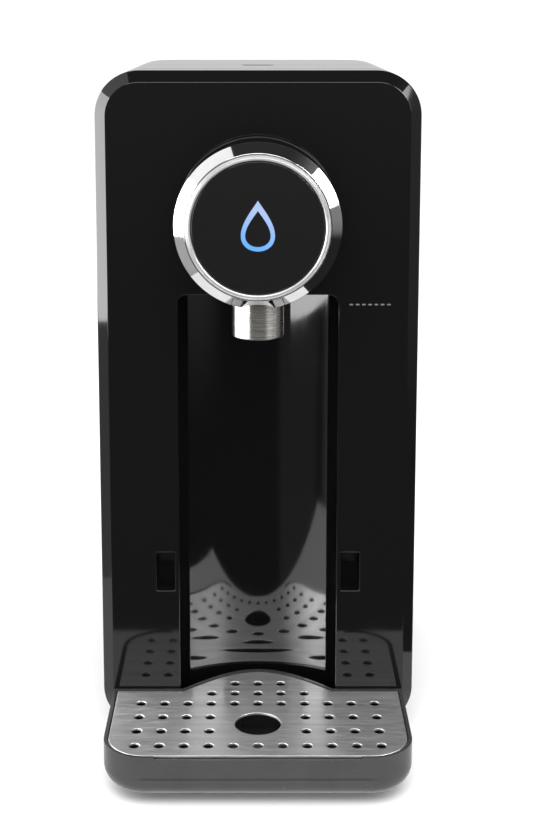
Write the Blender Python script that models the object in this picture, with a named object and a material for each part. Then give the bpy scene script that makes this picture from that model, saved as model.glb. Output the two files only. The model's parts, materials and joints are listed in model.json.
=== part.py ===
"""Countertop water dispenser: a tall gloss black cabinet with a round control head, a spout,
a cup niche, a hooked drip tray and a lift-out water tank at the rear.

Metres, +Z up, front towards -Y, +X to the right. The origin is the middle of the footprint, on
the counter. Shapes are written in the panel frame, whose Y = 0 is the front face of the cabinet;
the empty panel_datum carries that frame to its place.
"""

import math

import bmesh
import bpy
from mathutils import Vector

# ---- driving dimensions -------------------------------------------------------------------

GAP = 0.0003                # clearance between neighbouring pieces
WIDTH = 0.165               # cabinet
HEIGHT = 0.3535
BODY_DEPTH = 0.183
BODY_BOTTOM = 0.003
CORNER = 0.0227             # corner radius of the cabinet in front view
WALL = 0.0025
RIM_INSET = 0.0058          # slanted rim round the front face
RIM_DEPTH = 0.0053
PANEL_DEPTH = 0.030         # front moulding, front to back
PANEL_SKIN = 0.003
BAY_FRONT = 0.086           # front plane of the tank bay
BASE_TOP = 0.0585           # height of the shelf the tank stands on
TRAY_REACH = 0.0745         # drip tray in front of the panel

HEAD_Z = HEIGHT - 0.0733    # axis of the control head
BAND_R = 0.0408
COLLAR_R = 0.0400
DIAL_R = 0.0351
DIAL_INNER_R = 0.0326
DISC_R = 0.0322
DRUM_R = 0.0320
HEAD_HOLE_R = 0.0324
HEAD_FRONT = -0.0416        # foremost plane of the dial ring

NOZZLE_R = 0.0128
NOZZLE_Y = -0.0240
NOZZLE_BOTTOM = HEIGHT - 0.1289
NOZZLE_TOP = HEAD_Z - 0.0376
ELBOW_R = 0.0040
ELBOW_Z = HEAD_Z - 0.0235

NICHE_HALF = 0.0410
NICHE_TOP = HEIGHT - 0.1135
NICHE_BOTTOM = 0.0125
NICHE_DEPTH = 0.0270
NICHE_KNEE_HALF = 0.0370    # where the side walls meet the curved back
NICHE_KNEE_DEPTH = 0.0125
NICHE_CORNER = 0.0050

SLOT_X = 0.0484
SLOT_W = 0.0096
SLOT_LOW, SLOT_HIGH = HEIGHT - 0.2718, HEIGHT - 0.2507
LOWER_SLOT_LOW, LOWER_SLOT_HIGH = 0.0098, 0.0258

PLATE_Z = 0.0270            # top of the drip grid
PLATE_HALF = 0.0741
PLATE_FRONT = -0.0722
PLATE_REAR = -0.0030
PLATE_T = 0.0012
PLATE_CORNER = 0.0190
HUMP_PEAK = 0.0200          # how far the grid's hump reaches into the niche
HUMP_HALF = 0.0395
HOLE_R = 0.0026
CENTRE_HOLE_R = 0.0117
CENTRE_HOLE_Y = -0.0392
HOLE_PITCH = 0.01214
ROW_PITCH = 0.0150

TRAY_HALF = 0.0765
TRAY_RIM = 0.0272
TRAY_BOTTOM = 0.0048
TRAY_ROUND = 0.0105         # rounding between the tray's walls and its bottom
TRAY_CORNER = 0.0214
TRAY_REAR = -0.0005
TRAY_WALL = 0.0020
TRAY_LEDGE = 0.0020
TRAY_HUMP_FLOOR = 0.0135
TONGUE_HALF = 0.0042
TRAY_FOOT_X, TRAY_FOOT_Y = 0.0576, -0.0540

PARTING_Z = HEIGHT - 0.0260   # between the tank and its lid
LID_AXIS_Y = BODY_DEPTH - 0.0046
LID_AXIS_Z = PARTING_Z + 0.0062
LID_PIN_R = 0.0015
TANK_WALL = 0.0025
TANK_FRONT = BAY_FRONT + 0.0006
VALVE_Y = 0.1330

EAR_IN, EAR_OUT = 0.0240, 0.0270

NOZZLE_SKIN = 0.0013
INSERT_LOW = NOZZLE_BOTTOM + 0.0012
INSERT_HIGH = INSERT_LOW + 0.0050
DISC_FRONT = -0.0409
BOARD_FRONT = -0.0306
DROP_HALF, DROP_LOW, DROP_TIP = 0.0082, -0.0112, 0.0133
DROP_STROKE = 0.0021

HEAD = (0, HEAD_Z)
SPOUT = (0, NOZZLE_Y)
LID_AXIS = (LID_AXIS_Y, LID_AXIS_Z)
PANEL_Y = -(BODY_DEPTH - TRAY_REACH) / 2

FINE, MEDIUM, COARSE = 40, 24, 14    # sides of round pieces

MATERIALS = {
    "gloss_black": ((0.010, 0.010, 0.011), 0.08, 0.0),
    "satin_black": ((0.020, 0.020, 0.021), 0.35, 0.0),
    "tray_grey": ((0.035, 0.035, 0.036), 0.22, 0.0),
    "chrome": ((0.82, 0.82, 0.83), 0.07, 1.0),
    "steel": ((0.60, 0.60, 0.59), 0.28, 1.0),
    "glow": ((0.55, 0.80, 1.00), 0.30, 0.0),
    "smoke": ((0.10, 0.11, 0.12), 0.08, 0.0),
    "rubber": ((0.015, 0.015, 0.015), 0.80, 0.0),
    "silicone": ((0.78, 0.78, 0.75), 0.45, 0.0),
    "white_plastic": ((0.80, 0.80, 0.78), 0.45, 0.0),
    "aluminium": ((0.70, 0.70, 0.71), 0.38, 1.0),
    "board_green": ((0.02, 0.16, 0.07), 0.45, 0.0),
}


# ---- building blocks ----------------------------------------------------------------------

def clear_scene():
    for obj in list(bpy.data.objects):
        bpy.data.objects.remove(obj, do_unlink=True)


def make_materials():
    made = {}
    for name, (colour, roughness, metallic) in MATERIALS.items():
        material = bpy.data.materials.new(name)
        material.use_nodes = True
        shader = material.node_tree.nodes["Principled BSDF"]
        shader.inputs["Base Color"].default_value = (*colour, 1.0)
        shader.inputs["Roughness"].default_value = roughness
        shader.inputs["Metallic"].default_value = metallic
        made[name] = material
    return made


def axis_empty(name, location, parent=None):
    """An empty in the panel frame; moving pieces hang on one that lies on their joint's axis."""
    empty = bpy.data.objects.new(name, None)
    empty.location = location
    empty.parent = parent
    bpy.context.scene.collection.objects.link(empty)
    return empty


def add_object(name, bm, material, holder):
    """Makes one object from a mesh written in the panel frame and hangs it on its empty."""
    bmesh.ops.recalc_face_normals(bm, faces=bm.faces)
    if holder.parent:
        bmesh.ops.translate(bm, verts=bm.verts, vec=-holder.location)
    mesh = bpy.data.meshes.new(name)
    bm.to_mesh(mesh)
    bm.free()
    mesh.materials.append(SHADES[material])
    mesh.shade_smooth()
    mesh.set_sharp_from_angle(angle=math.radians(32))
    obj = bpy.data.objects.new(name, mesh)
    obj.parent = holder
    bpy.context.scene.collection.objects.link(obj)
    return obj


def apply_tool(target, name, bm, operation):
    """Adds a Boolean to target; the tool is a guide that is never rendered."""
    tool = add_object(name, bm, "satin_black", target.parent)
    tool.hide_render = True
    tool.display_type = "WIRE"
    boolean = target.modifiers.new(name, "BOOLEAN")
    boolean.operation = operation
    boolean.solver = "EXACT"
    boolean.object = tool


def cut(target, name, bm):
    apply_tool(target, f"cut_{name}", bm, "DIFFERENCE")


def join(target, name, bm):
    apply_tool(target, f"add_{name}", bm, "UNION")


def loft(rings, closed=False):
    """Skin over rings of equal length: capped at both ends, or closed round like a tyre."""
    bm = bmesh.new()
    rows = [[bm.verts.new(point) for point in ring] for ring in rings]
    pairs = list(zip(rows, rows[1:]))
    if closed:
        pairs.append((rows[-1], rows[0]))
    for lower, upper in pairs:
        count = len(lower)
        for i in range(count):
            j = (i + 1) % count
            bm.faces.new((lower[i], lower[j], upper[j], upper[i]))
    if not closed:
        bm.faces.new(rows[0])
        bm.faces.new(rows[-1])
    return bm


def circle(radius, along, axis, centre, sides):
    """A ring of points at a distance along the axis; centre is the other two coordinates."""
    points = []
    for i in range(sides):
        angle = 2 * math.pi * i / sides
        u = centre[0] + radius * math.cos(angle)
        v = centre[1] + radius * math.sin(angle)
        points.append({"X": (along, u, v), "Y": (u, along, v), "Z": (u, v, along)}[axis])
    return points


def turned(profile, axis, centre, sides=MEDIUM, ring=False):
    """A turned solid from (radius, along) pairs, or a turned ring if its profile is a loop."""
    return loft([circle(r, a, axis, centre, sides) for r, a in profile], closed=ring)


def rod(radius, start, end, axis, centre, sides=COARSE):
    return turned([(radius, start), (radius, end)], axis, centre, sides)


def box(low, high):
    (x0, y0, z0), (x1, y1, z1) = low, high
    base = [(x0, y0), (x1, y0), (x1, y1), (x0, y1)]
    return loft([[(x, y, z) for x, y in base] for z in (z0, z1)])


def rounded(half, low, high, radii, steps=7):
    """A rectangle with round corners: (u, v) points, |u| <= half, low <= v <= high.
    radii are (bottom, top)."""
    bottom, top = radii
    corners = (
        (half - bottom, low + bottom, bottom, -90),
        (half - top, high - top, top, 0),
        (-half + top, high - top, top, 90),
        (-half + bottom, low + bottom, bottom, 180),
    )
    points = []
    for u, v, radius, start in corners:
        count = steps if radius > 0 else 0
        for i in range(count + 1):
            angle = math.radians(start + 90 * i / max(count, 1))
            points.append((u + radius * math.cos(angle), v + radius * math.sin(angle)))
    return points


def front_prism(outline, y0, y1):
    """Extrudes an (x, z) outline from y0 to y1."""
    return loft([[(x, y, z) for x, z in outline] for y in (y0, y1)])


def plan_prism(outline, z0, z1):
    """Extrudes an (x, y) outline from z0 to z1."""
    return loft([[(x, y, z) for x, y in outline] for z in (z0, z1)])


def merged(*parts):
    """Several closed meshes in one, for a tool that works in several places."""
    whole = bmesh.new()
    for part in parts:
        scratch = bpy.data.meshes.new("scratch")
        part.to_mesh(scratch)
        part.free()
        whole.from_mesh(scratch)
        bpy.data.meshes.remove(scratch)
    return whole


def cabinet_outline(inset, steps=6):
    radius = CORNER - inset
    return rounded(WIDTH / 2 - inset, BODY_BOTTOM + inset, HEIGHT - inset, (radius, radius), steps)


def coil(name, axis, centre, start, end, radius, wire, turns, material, holder):
    """A helical spring of round wire, with its ends cut square."""
    steps, sides = 10, 5
    total = turns * steps
    rings = []
    for i in range(total + 1):
        angle = 2 * math.pi * i / steps
        along = start + wire + (end - start - 2 * wire) * i / total
        ring = []
        for j in range(sides):
            turn = 2 * math.pi * j / sides
            r = radius + wire * math.cos(turn)
            u = centre[0] + r * math.cos(angle)
            v = centre[1] + r * math.sin(angle)
            w = along + wire * math.sin(turn)
            ring.append({"Y": (u, w, v), "Z": (u, v, w)}[axis])
        rings.append(ring)
    return add_object(name, loft(rings), material, holder)


def hose(name, route, radius, material, holder):
    """A filled hose, straight at both ends and smooth through the other points of its route."""
    per_span = 3
    points = [Vector(p) for p in route]
    smooth = [points[0]]
    for a, b, c, d in zip(points, points[1:], points[2:], points[3:]):
        for i in range(per_span):
            t = i / per_span
            smooth.append(0.5 * (2 * b + (c - a) * t + (2 * a - 5 * b + 4 * c - d) * t * t
                                 + (3 * b - a - 3 * c + d) * t * t * t))
    smooth += points[-2:]
    curve = bpy.data.curves.new(name, "CURVE")
    curve.dimensions = "3D"
    curve.bevel_depth = radius
    curve.bevel_resolution = 2
    curve.use_fill_caps = True
    spline = curve.splines.new("POLY")
    spline.points.add(len(smooth) - 1)
    for target, point in zip(spline.points, smooth):
        target.co = (*point, 1.0)
    curve.materials.append(SHADES[material])
    obj = bpy.data.objects.new(name, curve)
    obj.parent = holder
    bpy.context.scene.collection.objects.link(obj)
    return obj


# ---- cabinet ------------------------------------------------------------------------------

COVER_FRONT, COVER_BACK = BODY_DEPTH - 0.0048, BODY_DEPTH - 0.0022
VENTS, VENT_PITCH, VENT_HALF = 7, 0.0072, 0.0015
VENT_START, VENT_LOW, VENT_HIGH = 0.002, 0.018, 0.042    # first vent's x, and their heights
DISH_HALF, DISH_DEPTH = 0.0085, 0.0016                   # finger dish in front of the lid
HATCH_HALF, HATCH_FRONT, HATCH_REAR = 0.054, 0.045, 0.165
FOOT_X, FOOT_FRONT, FOOT_REAR, FOOT_R = 0.060, 0.030, 0.172, 0.0078
COVER_SCREWS = ((-0.070, 0.046), (0.070, 0.046), (-0.052, 0.0125), (0.052, 0.0125))
GLAND = (-0.042, 0.030)
OVER = 0.010                # how far a cutting tool reaches past the piece it cuts


def make_front_panel():
    """Front moulding: flat face, slanted rim, and a skirt that runs back to the seam."""
    levels = (
        (RIM_INSET, 0.0), (0.0005, RIM_DEPTH - 0.0006), (0.0, RIM_DEPTH + 0.0004),
        (0.0, PANEL_DEPTH), (WALL, PANEL_DEPTH), (WALL, RIM_DEPTH + 0.0032),
        (RIM_INSET + 0.0008, PANEL_SKIN),
    )
    rings = [[(x, y, z) for x, z in cabinet_outline(inset)] for inset, y in levels]
    panel = add_object("front_panel", loft(rings), "gloss_black", DATUM)
    niche = rounded(NICHE_HALF, NICHE_BOTTOM, NICHE_TOP, (0.0, NICHE_CORNER))
    slots = []
    for x in (-SLOT_X, SLOT_X):
        for low, high in ((SLOT_LOW, SLOT_HIGH), (LOWER_SLOT_LOW, LOWER_SLOT_HIGH)):
            slots.append(box((x - SLOT_W / 2, -OVER, low), (x + SLOT_W / 2, OVER, high)))
    cut(panel, "niche_opening", front_prism(niche, -OVER, OVER))
    cut(panel, "head_hole", rod(HEAD_HOLE_R, -OVER, OVER, "Y", HEAD, FINE))
    cut(panel, "hook_slots", merged(*slots))


def make_body_shell():
    """The wrap behind the front moulding: full height to the tank bay, low under the tank."""
    outer, inner = cabinet_outline(0.0), cabinet_outline(WALL)
    front = PANEL_DEPTH + GAP
    rings = []
    for outline, y in ((outer, front), (outer, BODY_DEPTH), (inner, BODY_DEPTH), (inner, front)):
        rings.append([(x, y, z) for x, z in outline])
    shell = add_object("body_shell", loft(rings, closed=True), "gloss_black", DATUM)
    cut(shell, "tank_bay", box((-WIDTH, BAY_FRONT, BASE_TOP),
                               (WIDTH, BODY_DEPTH + OVER, HEIGHT + OVER)))
    dish = rounded(DISH_HALF, BAY_FRONT - DISH_HALF, BAY_FRONT + OVER, (0.003, 0.0), 4)
    cut(shell, "finger_dish", plan_prism(dish, HEIGHT - DISH_DEPTH, HEIGHT + OVER))
    hatch = rounded(HATCH_HALF, HATCH_FRONT, HATCH_REAR, (0.006, 0.006), 4)
    cut(shell, "base_hatch", plan_prism(hatch, -OVER, BODY_BOTTOM + WALL + 0.001))


def make_base_plate():
    """Closes the hatch in the underside from the inside, with a flange all round."""
    low = BODY_BOTTOM + WALL + GAP
    lap, clear = 0.004, 0.0005
    flange = rounded(HATCH_HALF + lap, HATCH_FRONT - lap, HATCH_REAR + lap, (0.008, 0.008), 4)
    boss = rounded(HATCH_HALF - clear, HATCH_FRONT + clear, HATCH_REAR - clear, (0.006, 0.006), 4)
    plate = add_object("base_plate", plan_prism(flange, low, low + 0.0022), "satin_black", DATUM)
    join(plate, "base_boss", plan_prism(boss, BODY_BOTTOM + 0.0004, low + 0.001))


def make_rear_cover():
    """Low panel behind the machine room, with vents, a cord opening and four screw holes."""
    edge = WALL + GAP
    outline = rounded(WIDTH / 2 - edge, BODY_BOTTOM + edge, BASE_TOP - 0.0045,
                      (CORNER - edge, 0.0), 6)
    cover = add_object("rear_cover", front_prism(outline, COVER_FRONT, COVER_BACK),
                       "satin_black", DATUM)
    low, high = COVER_FRONT - OVER, COVER_BACK + OVER
    vents = []
    end = VENT_HALF - 0.0001
    for i in range(VENTS):
        x = VENT_START + VENT_PITCH * i
        slot = [(x + u, v) for u, v in rounded(VENT_HALF, VENT_LOW, VENT_HIGH, (end, end), 2)]
        vents.append(front_prism(slot, low, high))
    cut(cover, "vents", merged(*vents))
    cut(cover, "gland_hole", rod(0.0062, low, high, "Y", GLAND, 16))
    cut(cover, "screw_holes", merged(*[rod(0.0018, low, high, "Y", s, 12) for s in COVER_SCREWS]))


def make_cover_screws():
    seat = COVER_BACK + GAP
    for number, spot in enumerate(COVER_SCREWS, 1):
        profile = [(0.0015, seat - 0.0085), (0.0015, seat), (0.0030, seat),
                   (0.0030, seat + 0.0006), (0.0022, seat + 0.0012)]
        add_object(f"cover_screw_{number}", turned(profile, "Y", spot, 14), "steel", DATUM)


def make_cord_gland():
    """Strain relief bush in the rear cover, with a flange on its inner side."""
    body, flange, bore = 0.0058, 0.0080, 0.0037
    inside = COVER_FRONT - GAP
    profile = [(bore, inside - 0.004), (flange, inside - 0.004), (flange, inside),
               (body, inside), (body, COVER_BACK + 0.0012), (body - 0.0006, BODY_DEPTH - 0.0002),
               (bore, BODY_DEPTH - 0.0002)]
    add_object("cord_gland", turned(profile, "Y", GLAND, 16, ring=True), "rubber", DATUM)


def make_body_feet():
    top = BODY_BOTTOM - GAP
    profile = [(FOOT_R - 0.0008, 0.0), (FOOT_R, 0.0006), (FOOT_R, top)]
    for side, x in (("left", -FOOT_X), ("right", FOOT_X)):
        for end, y in (("front", FOOT_FRONT), ("rear", FOOT_REAR)):
            foot = turned(profile, "Z", (x, y), 20)
            add_object(f"body_foot_{end}_{side}", foot, "rubber", DATUM)


# ---- cup niche ----------------------------------------------------------------------------

def niche_plan(grow, count=16):
    """Plan of the niche: short side walls, then a parabola; (x, y) points from +X to -X."""
    start, knee = PANEL_SKIN + GAP, NICHE_KNEE_DEPTH
    points = [(NICHE_HALF + grow, start)]
    half, peak = NICHE_KNEE_HALF + grow, NICHE_DEPTH + grow
    for i in range(count + 1):
        x = half * (1 - 2 * i / count)
        points.append((x, peak - (peak - knee) * (x / half) ** 2))
    return [*points, (-NICHE_HALF - grow, start)]


def bell(half, start, peak, count=14):
    """Plan curve of the grid's hump, flared at its sides: (x, y) points from +X to -X."""
    points = []
    for i in range(count + 1):
        x = half * (1 - 2 * i / count)
        points.append((x, start + (peak - start) * math.cos(math.pi * x / (2 * half))))
    return points


def make_niche_liner():
    """Thin curved wall behind the opening, with a ceiling and a floor."""
    skin = 0.0020
    outer = plan_prism(niche_plan(skin), NICHE_BOTTOM - skin, NICHE_TOP + skin)
    liner = add_object("niche_liner", outer, "gloss_black", DATUM)
    inner = [(NICHE_HALF, -OVER), *niche_plan(0.0), (-NICHE_HALF, -OVER)]
    cut(liner, "niche_space", plan_prism(inner, NICHE_BOTTOM, NICHE_TOP))


# ---- tank bay and machine room --------------------------------------------------------------

VALVE = (0, VALVE_Y)
PUMP = (-0.048, 0.058)
PUMP_LOW, PUMP_HIGH = 0.030, 0.062
PUMP_PORT = 0.024           # reach of the pump's side ports from its axis
METER = (-0.050, 0.058)
METER_LOW, METER_HIGH = 0.150, 0.170
HEATER = (0.045, 0.058)
HEATER_LOW, HEATER_HIGH = 0.130, 0.240
PORT = 0.008                # length of an upright port
PIN_LOW = BASE_TOP - 0.0240
ELBOW_END = 0.0220
HEATER_HALF_X, HEATER_HALF_Y = 0.022, 0.014
RIBS, RIB_PITCH, RIB_WIDTH, RIB_DEPTH = 6, 0.0145, 0.005, 0.003
BOARD_LEFT, BOARD_RIGHT, BOARD_LOW, BOARD_HIGH = -0.066, -0.006, 0.205, 0.300
BOARD_Y, BOARD_T = 0.0460, 0.0016


def make_tank_cradle():
    """Shelf under the tank and wall in front of it, in one L-shaped moulding with a socket."""
    edge = WALL + GAP
    low = BASE_TOP - 0.004
    wall = rounded(WIDTH / 2 - edge, low, HEIGHT - edge, (0.0, CORNER - edge), 6)
    front = BAY_FRONT - 0.0028
    cradle = add_object("tank_cradle", front_prism(wall, front, BAY_FRONT - 0.0004),
                        "satin_black", DATUM)
    join(cradle, "shelf", box((-WIDTH / 2 + edge, front + 0.0005, low),
                              (WIDTH / 2 - edge, BODY_DEPTH - 0.0006, BASE_TOP - 0.0006)))
    join(cradle, "socket", rod(0.0145, BASE_TOP - 0.0155, BASE_TOP - 0.002, "Z", VALVE, 20))
    cut(cradle, "socket_mouth", rod(0.0125, BASE_TOP - 0.0120, BASE_TOP + OVER, "Z", VALVE, 20))
    cut(cradle, "pin_hole", rod(0.0053, BASE_TOP - 0.0200, BASE_TOP - 0.0100, "Z", VALVE, 20))


def make_cradle_pin():
    """Hollow post that lifts the tank's valve; the hose is pushed up against its foot."""
    profile = [(0.0042, PIN_LOW), (0.0042, PIN_LOW + 0.0060), (0.0050, PIN_LOW + 0.0060),
               (0.0050, BASE_TOP - 0.0110), (0.0028, BASE_TOP - 0.0105),
               (0.0028, BASE_TOP - 0.0062), (0.0014, BASE_TOP - 0.0062), (0.0014, PIN_LOW)]
    add_object("cradle_pin", turned(profile, "Z", VALVE, 20, ring=True), "white_plastic", DATUM)


def make_pump():
    """Membrane pump head with two side ports, and its motor standing on it."""
    profile = [(0.0150, PUMP_LOW), (0.0162, PUMP_LOW + 0.002), (0.0162, PUMP_HIGH - 0.002),
               (0.0150, PUMP_HIGH)]
    pump = add_object("pump_body", turned(profile, "Z", PUMP, 20), "white_plastic", DATUM)
    x, y = PUMP
    ports = [rod(0.0034, x, x + PUMP_PORT, "X", (y, z), 14)
             for z in (PUMP_LOW + PORT, PUMP_HIGH - PORT)]
    join(pump, "pump_ports", merged(*ports))
    low = PUMP_HIGH + GAP
    motor = [(0.0135, low), (0.0135, low + 0.030), (0.0120, low + 0.032), (0.0050, low + 0.032),
             (0.0050, low + 0.035)]
    add_object("pump_motor", turned(motor, "Z", PUMP, 20), "steel", DATUM)


def make_flow_meter():
    profile = [(0.0032, METER_LOW - PORT), (0.0032, METER_LOW), (0.0130, METER_LOW),
               (0.0130, METER_HIGH), (0.0032, METER_HIGH), (0.0032, METER_HIGH + PORT)]
    add_object("flow_meter", turned(profile, "Z", METER, 20), "white_plastic", DATUM)


def make_heater():
    """Instant heater: a ribbed block on a folded bracket, with a thermostat on its front."""
    half_x, half_y = HEATER_HALF_X, HEATER_HALF_Y
    x, y = HEATER
    block = box((x - half_x, y - half_y, HEATER_LOW), (x + half_x, y + half_y, HEATER_HIGH))
    heater = add_object("heater_block", block, "aluminium", DATUM)
    ribs = []
    for i in range(RIBS):
        z = HEATER_LOW + 0.014 + RIB_PITCH * i
        ribs.append(box((x - half_x - 0.002, y + half_y - RIB_DEPTH, z),
                        (x + half_x + 0.002, y + half_y + 0.002, z + RIB_WIDTH)))
    cut(heater, "heater_ribs", merged(*ribs))
    ports = [rod(0.0036, a, b, "Z", HEATER, 14)
             for a, b in ((HEATER_LOW - PORT, HEATER_LOW + 0.004),
                          (HEATER_HIGH - 0.004, HEATER_HIGH + PORT))]
    join(heater, "heater_ports", merged(*ports))
    back = BAY_FRONT - 0.0028 - GAP
    side, sheet = x + half_x + GAP, 0.0015
    low, high = HEATER_LOW + 0.020, HEATER_HIGH - 0.020
    brace = add_object("heater_bracket", box((side, y - 0.008, low), (side + sheet, back, high)),
                       "steel", DATUM)
    join(brace, "bracket_foot", box((side - 0.010, back - sheet, low),
                                    (side + sheet / 2, back, high)))
    face = y - half_y - GAP
    profile = [(0.0075, face), (0.0075, face - 0.004), (0.0058, face - 0.0045),
               (0.0058, face - 0.007)]
    middle = (HEATER_LOW + HEATER_HIGH) / 2
    add_object("heater_thermostat", turned(profile, "Y", (x, middle), 24), "white_plastic", DATUM)


def make_control_board():
    """Main board with its relay and smoothing capacitor, standing beside the heater."""
    add_object("control_board", box((BOARD_LEFT, BOARD_Y, BOARD_LOW),
                                    (BOARD_RIGHT, BOARD_Y + BOARD_T, BOARD_HIGH)),
               "board_green", DATUM)
    face = BOARD_Y + BOARD_T + GAP
    left, low = BOARD_LEFT + 0.006, BOARD_LOW + 0.055
    add_object("relay", box((left, face, low), (left + 0.019, face + 0.016, low + 0.030)),
               "satin_black", DATUM)
    profile = [(0.0078, face), (0.0078, face + 0.018), (0.0070, face + 0.019)]
    add_object("capacitor", turned(profile, "Y", (-0.022, 0.232), 24), "satin_black", DATUM)


def make_hoses():
    """Water ways, each standing a small clearance off its ports and straight where it meets
    them."""
    radius = 0.0033
    y = PUMP[1]
    port_x = PUMP[0] + PUMP_PORT + GAP
    inlet_z, outlet_z = PUMP_LOW + PORT, PUMP_HIGH - PORT
    start = PIN_LOW - GAP
    hose("hose_tank_pump", [
        (0, VALVE_Y, start), (0, VALVE_Y, start - 0.008), (-0.001, VALVE_Y - 0.012, start - 0.0165),
        (-0.003, 0.100, PUMP_LOW - 0.012), (-0.005, 0.076, PUMP_LOW - 0.004),
        (-0.009, y + 0.004, inlet_z - 0.003), (port_x + 0.007, y, inlet_z), (port_x, y, inlet_z),
    ], radius, "silicone", DATUM)
    low = METER_LOW - PORT - GAP
    hose("hose_pump_meter", [
        (port_x, y, outlet_z), (port_x + 0.007, y, outlet_z), (-0.011, y, outlet_z + 0.008),
        (-0.010, y, 0.095), (-0.018, y, 0.112), (-0.038, y, 0.120),
        (METER[0], y, low - 0.008), (METER[0], y, low),
    ], radius, "silicone", DATUM)
    top = METER_HIGH + PORT + GAP
    foot = HEATER_LOW - PORT - GAP
    hose("hose_meter_heater", [
        (METER[0], y, top), (METER[0], y, top + 0.008), (-0.042, y, top + 0.018),
        (-0.022, y, top + 0.018), (-0.006, y, 0.180), (0.000, y, 0.150), (0.003, y, 0.122),
        (0.014, y, 0.104), (0.032, y, 0.099), (HEATER[0], y, foot - 0.009), (HEATER[0], y, foot),
    ], radius, "silicone", DATUM)
    head = HEATER_HIGH + PORT + GAP
    hose("hose_heater_spout", [
        (HEATER[0], y, head), (HEATER[0], y, head + 0.007), (0.038, y, head + 0.018),
        (0.022, y - 0.004, head + 0.019), (0.008, y - 0.012, head + 0.014),
        (0.001, y - 0.020, ELBOW_Z + 0.001), (0, ELBOW_END + GAP + 0.008, ELBOW_Z),
        (0, ELBOW_END + GAP, ELBOW_Z),
    ], radius, "silicone", DATUM)


# ---- control head ---------------------------------------------------------------------------

def make_head_collar():
    """Black ring between the cabinet and the chrome band."""
    profile = [(COLLAR_R, -0.0097), (COLLAR_R, -0.0012), (COLLAR_R + 0.0008, -GAP),
               (HEAD_HOLE_R, -GAP), (HEAD_HOLE_R, -0.0097)]
    add_object("head_collar", turned(profile, "Y", HEAD, FINE, ring=True), "satin_black", DATUM)


def make_head_band():
    """Fixed chrome band round the head, slanting in towards the dial."""
    inner, lip, slant_rear, front = 0.0388, DIAL_R + GAP, -0.0342, -0.0393
    profile = [(BAND_R, -0.0100), (BAND_R, slant_rear), (lip + 0.0003, front),
               (lip, front), (lip, front + 0.0014), (inner - 0.0006, slant_rear - 0.0006),
               (inner, slant_rear + 0.0015), (inner, -0.0100)]
    band = add_object("head_band", turned(profile, "Y", HEAD, FINE, ring=True), "chrome", DATUM)
    cut(band, "nozzle_hole", rod(NOZZLE_R + GAP, NOZZLE_BOTTOM, HEAD_Z - 0.030, "Z",
                                 SPOUT, 28))


def make_head_housing():
    """Drum that carries the head; its rear flange sits behind the front moulding."""
    flange, inner, wire_hole = PANEL_SKIN + GAP, 0.0290, 0.0060
    profile = [(DRUM_R, -0.0330), (DRUM_R, flange), (0.0360, flange), (0.0360, flange + 0.0024),
               (wire_hole, flange + 0.0024), (wire_hole, 0.0015), (inner, 0.0015),
               (inner, -0.0330)]
    housing = add_object("head_housing", turned(profile, "Y", HEAD, MEDIUM, ring=True),
                         "satin_black", DATUM)
    reach = ELBOW_R + 2 * GAP
    cut(housing, "elbow_slot", box((-reach, NOZZLE_Y - reach, HEAD_Z - 0.0360),
                                   (reach, NOZZLE_Y + reach, HEAD_Z - 0.0240)))
    cut(housing, "elbow_hole", rod(reach, -0.0040, 0.0120, "Y", (0, ELBOW_Z), 20))


def make_ring_bearing():
    """Bush with a shoulder, on which the dial ring turns."""
    inner, outer, shoulder = DRUM_R + GAP, 0.0336, DIAL_R - GAP
    profile = [(inner, -0.0358), (outer, -0.0358), (outer, -0.0322), (shoulder, -0.0322),
               (shoulder, -0.0306), (inner, -0.0306)]
    add_object("ring_bearing", turned(profile, "Y", HEAD, MEDIUM, ring=True), "white_plastic", DATUM)


def make_nozzle():
    """Steel sleeve open at the bottom, with a small hole in its top for the water way."""
    bore = NOZZLE_R - NOZZLE_SKIN
    profile = [(NOZZLE_R, NOZZLE_BOTTOM + 0.0004), (NOZZLE_R, NOZZLE_TOP),
               (ELBOW_R + GAP, NOZZLE_TOP), (ELBOW_R + GAP, NOZZLE_TOP - NOZZLE_SKIN),
               (bore, NOZZLE_TOP - NOZZLE_SKIN), (bore, NOZZLE_BOTTOM),
               (NOZZLE_R - 0.0004, NOZZLE_BOTTOM)]
    add_object("nozzle", turned(profile, "Z", SPOUT, 28, ring=True), "steel", DATUM)


def make_nozzle_insert():
    """Black jet insert inside the sleeve, below the end of the elbow."""
    outer = NOZZLE_R - NOZZLE_SKIN - GAP
    profile = [(0.0024, INSERT_LOW + 0.0010), (0.0050, INSERT_LOW), (outer, INSERT_LOW + 0.0008),
               (outer, INSERT_HIGH), (0.0024, INSERT_HIGH)]
    add_object("nozzle_insert", turned(profile, "Z", SPOUT, 18, ring=True), "satin_black", DATUM)


def make_outlet_elbow():
    """Water way that rises through the sleeve and turns back into the cabinet."""
    bend, sides, steps = 0.0060, 14, 6
    centre = Vector((0, NOZZLE_Y + bend, ELBOW_Z - bend))
    across = Vector((1, 0, 0))
    rings = []
    for i in range(steps + 1):
        angle = math.radians(90 * i / steps)
        outward = Vector((0, -math.cos(angle), math.sin(angle)))
        ring = []
        for k in range(sides):
            turn = 2 * math.pi * k / sides
            ring.append(centre + outward * (bend + ELBOW_R * math.sin(turn))
                        + across * (ELBOW_R * math.cos(turn)))
        rings.append(ring)
    first = [(p.x, p.y, INSERT_HIGH + GAP) for p in rings[0]]
    last = [(p.x, ELBOW_END, p.z) for p in rings[-1]]
    add_object("outlet_elbow", loft([first, *rings, last]), "white_plastic", DATUM)


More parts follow.
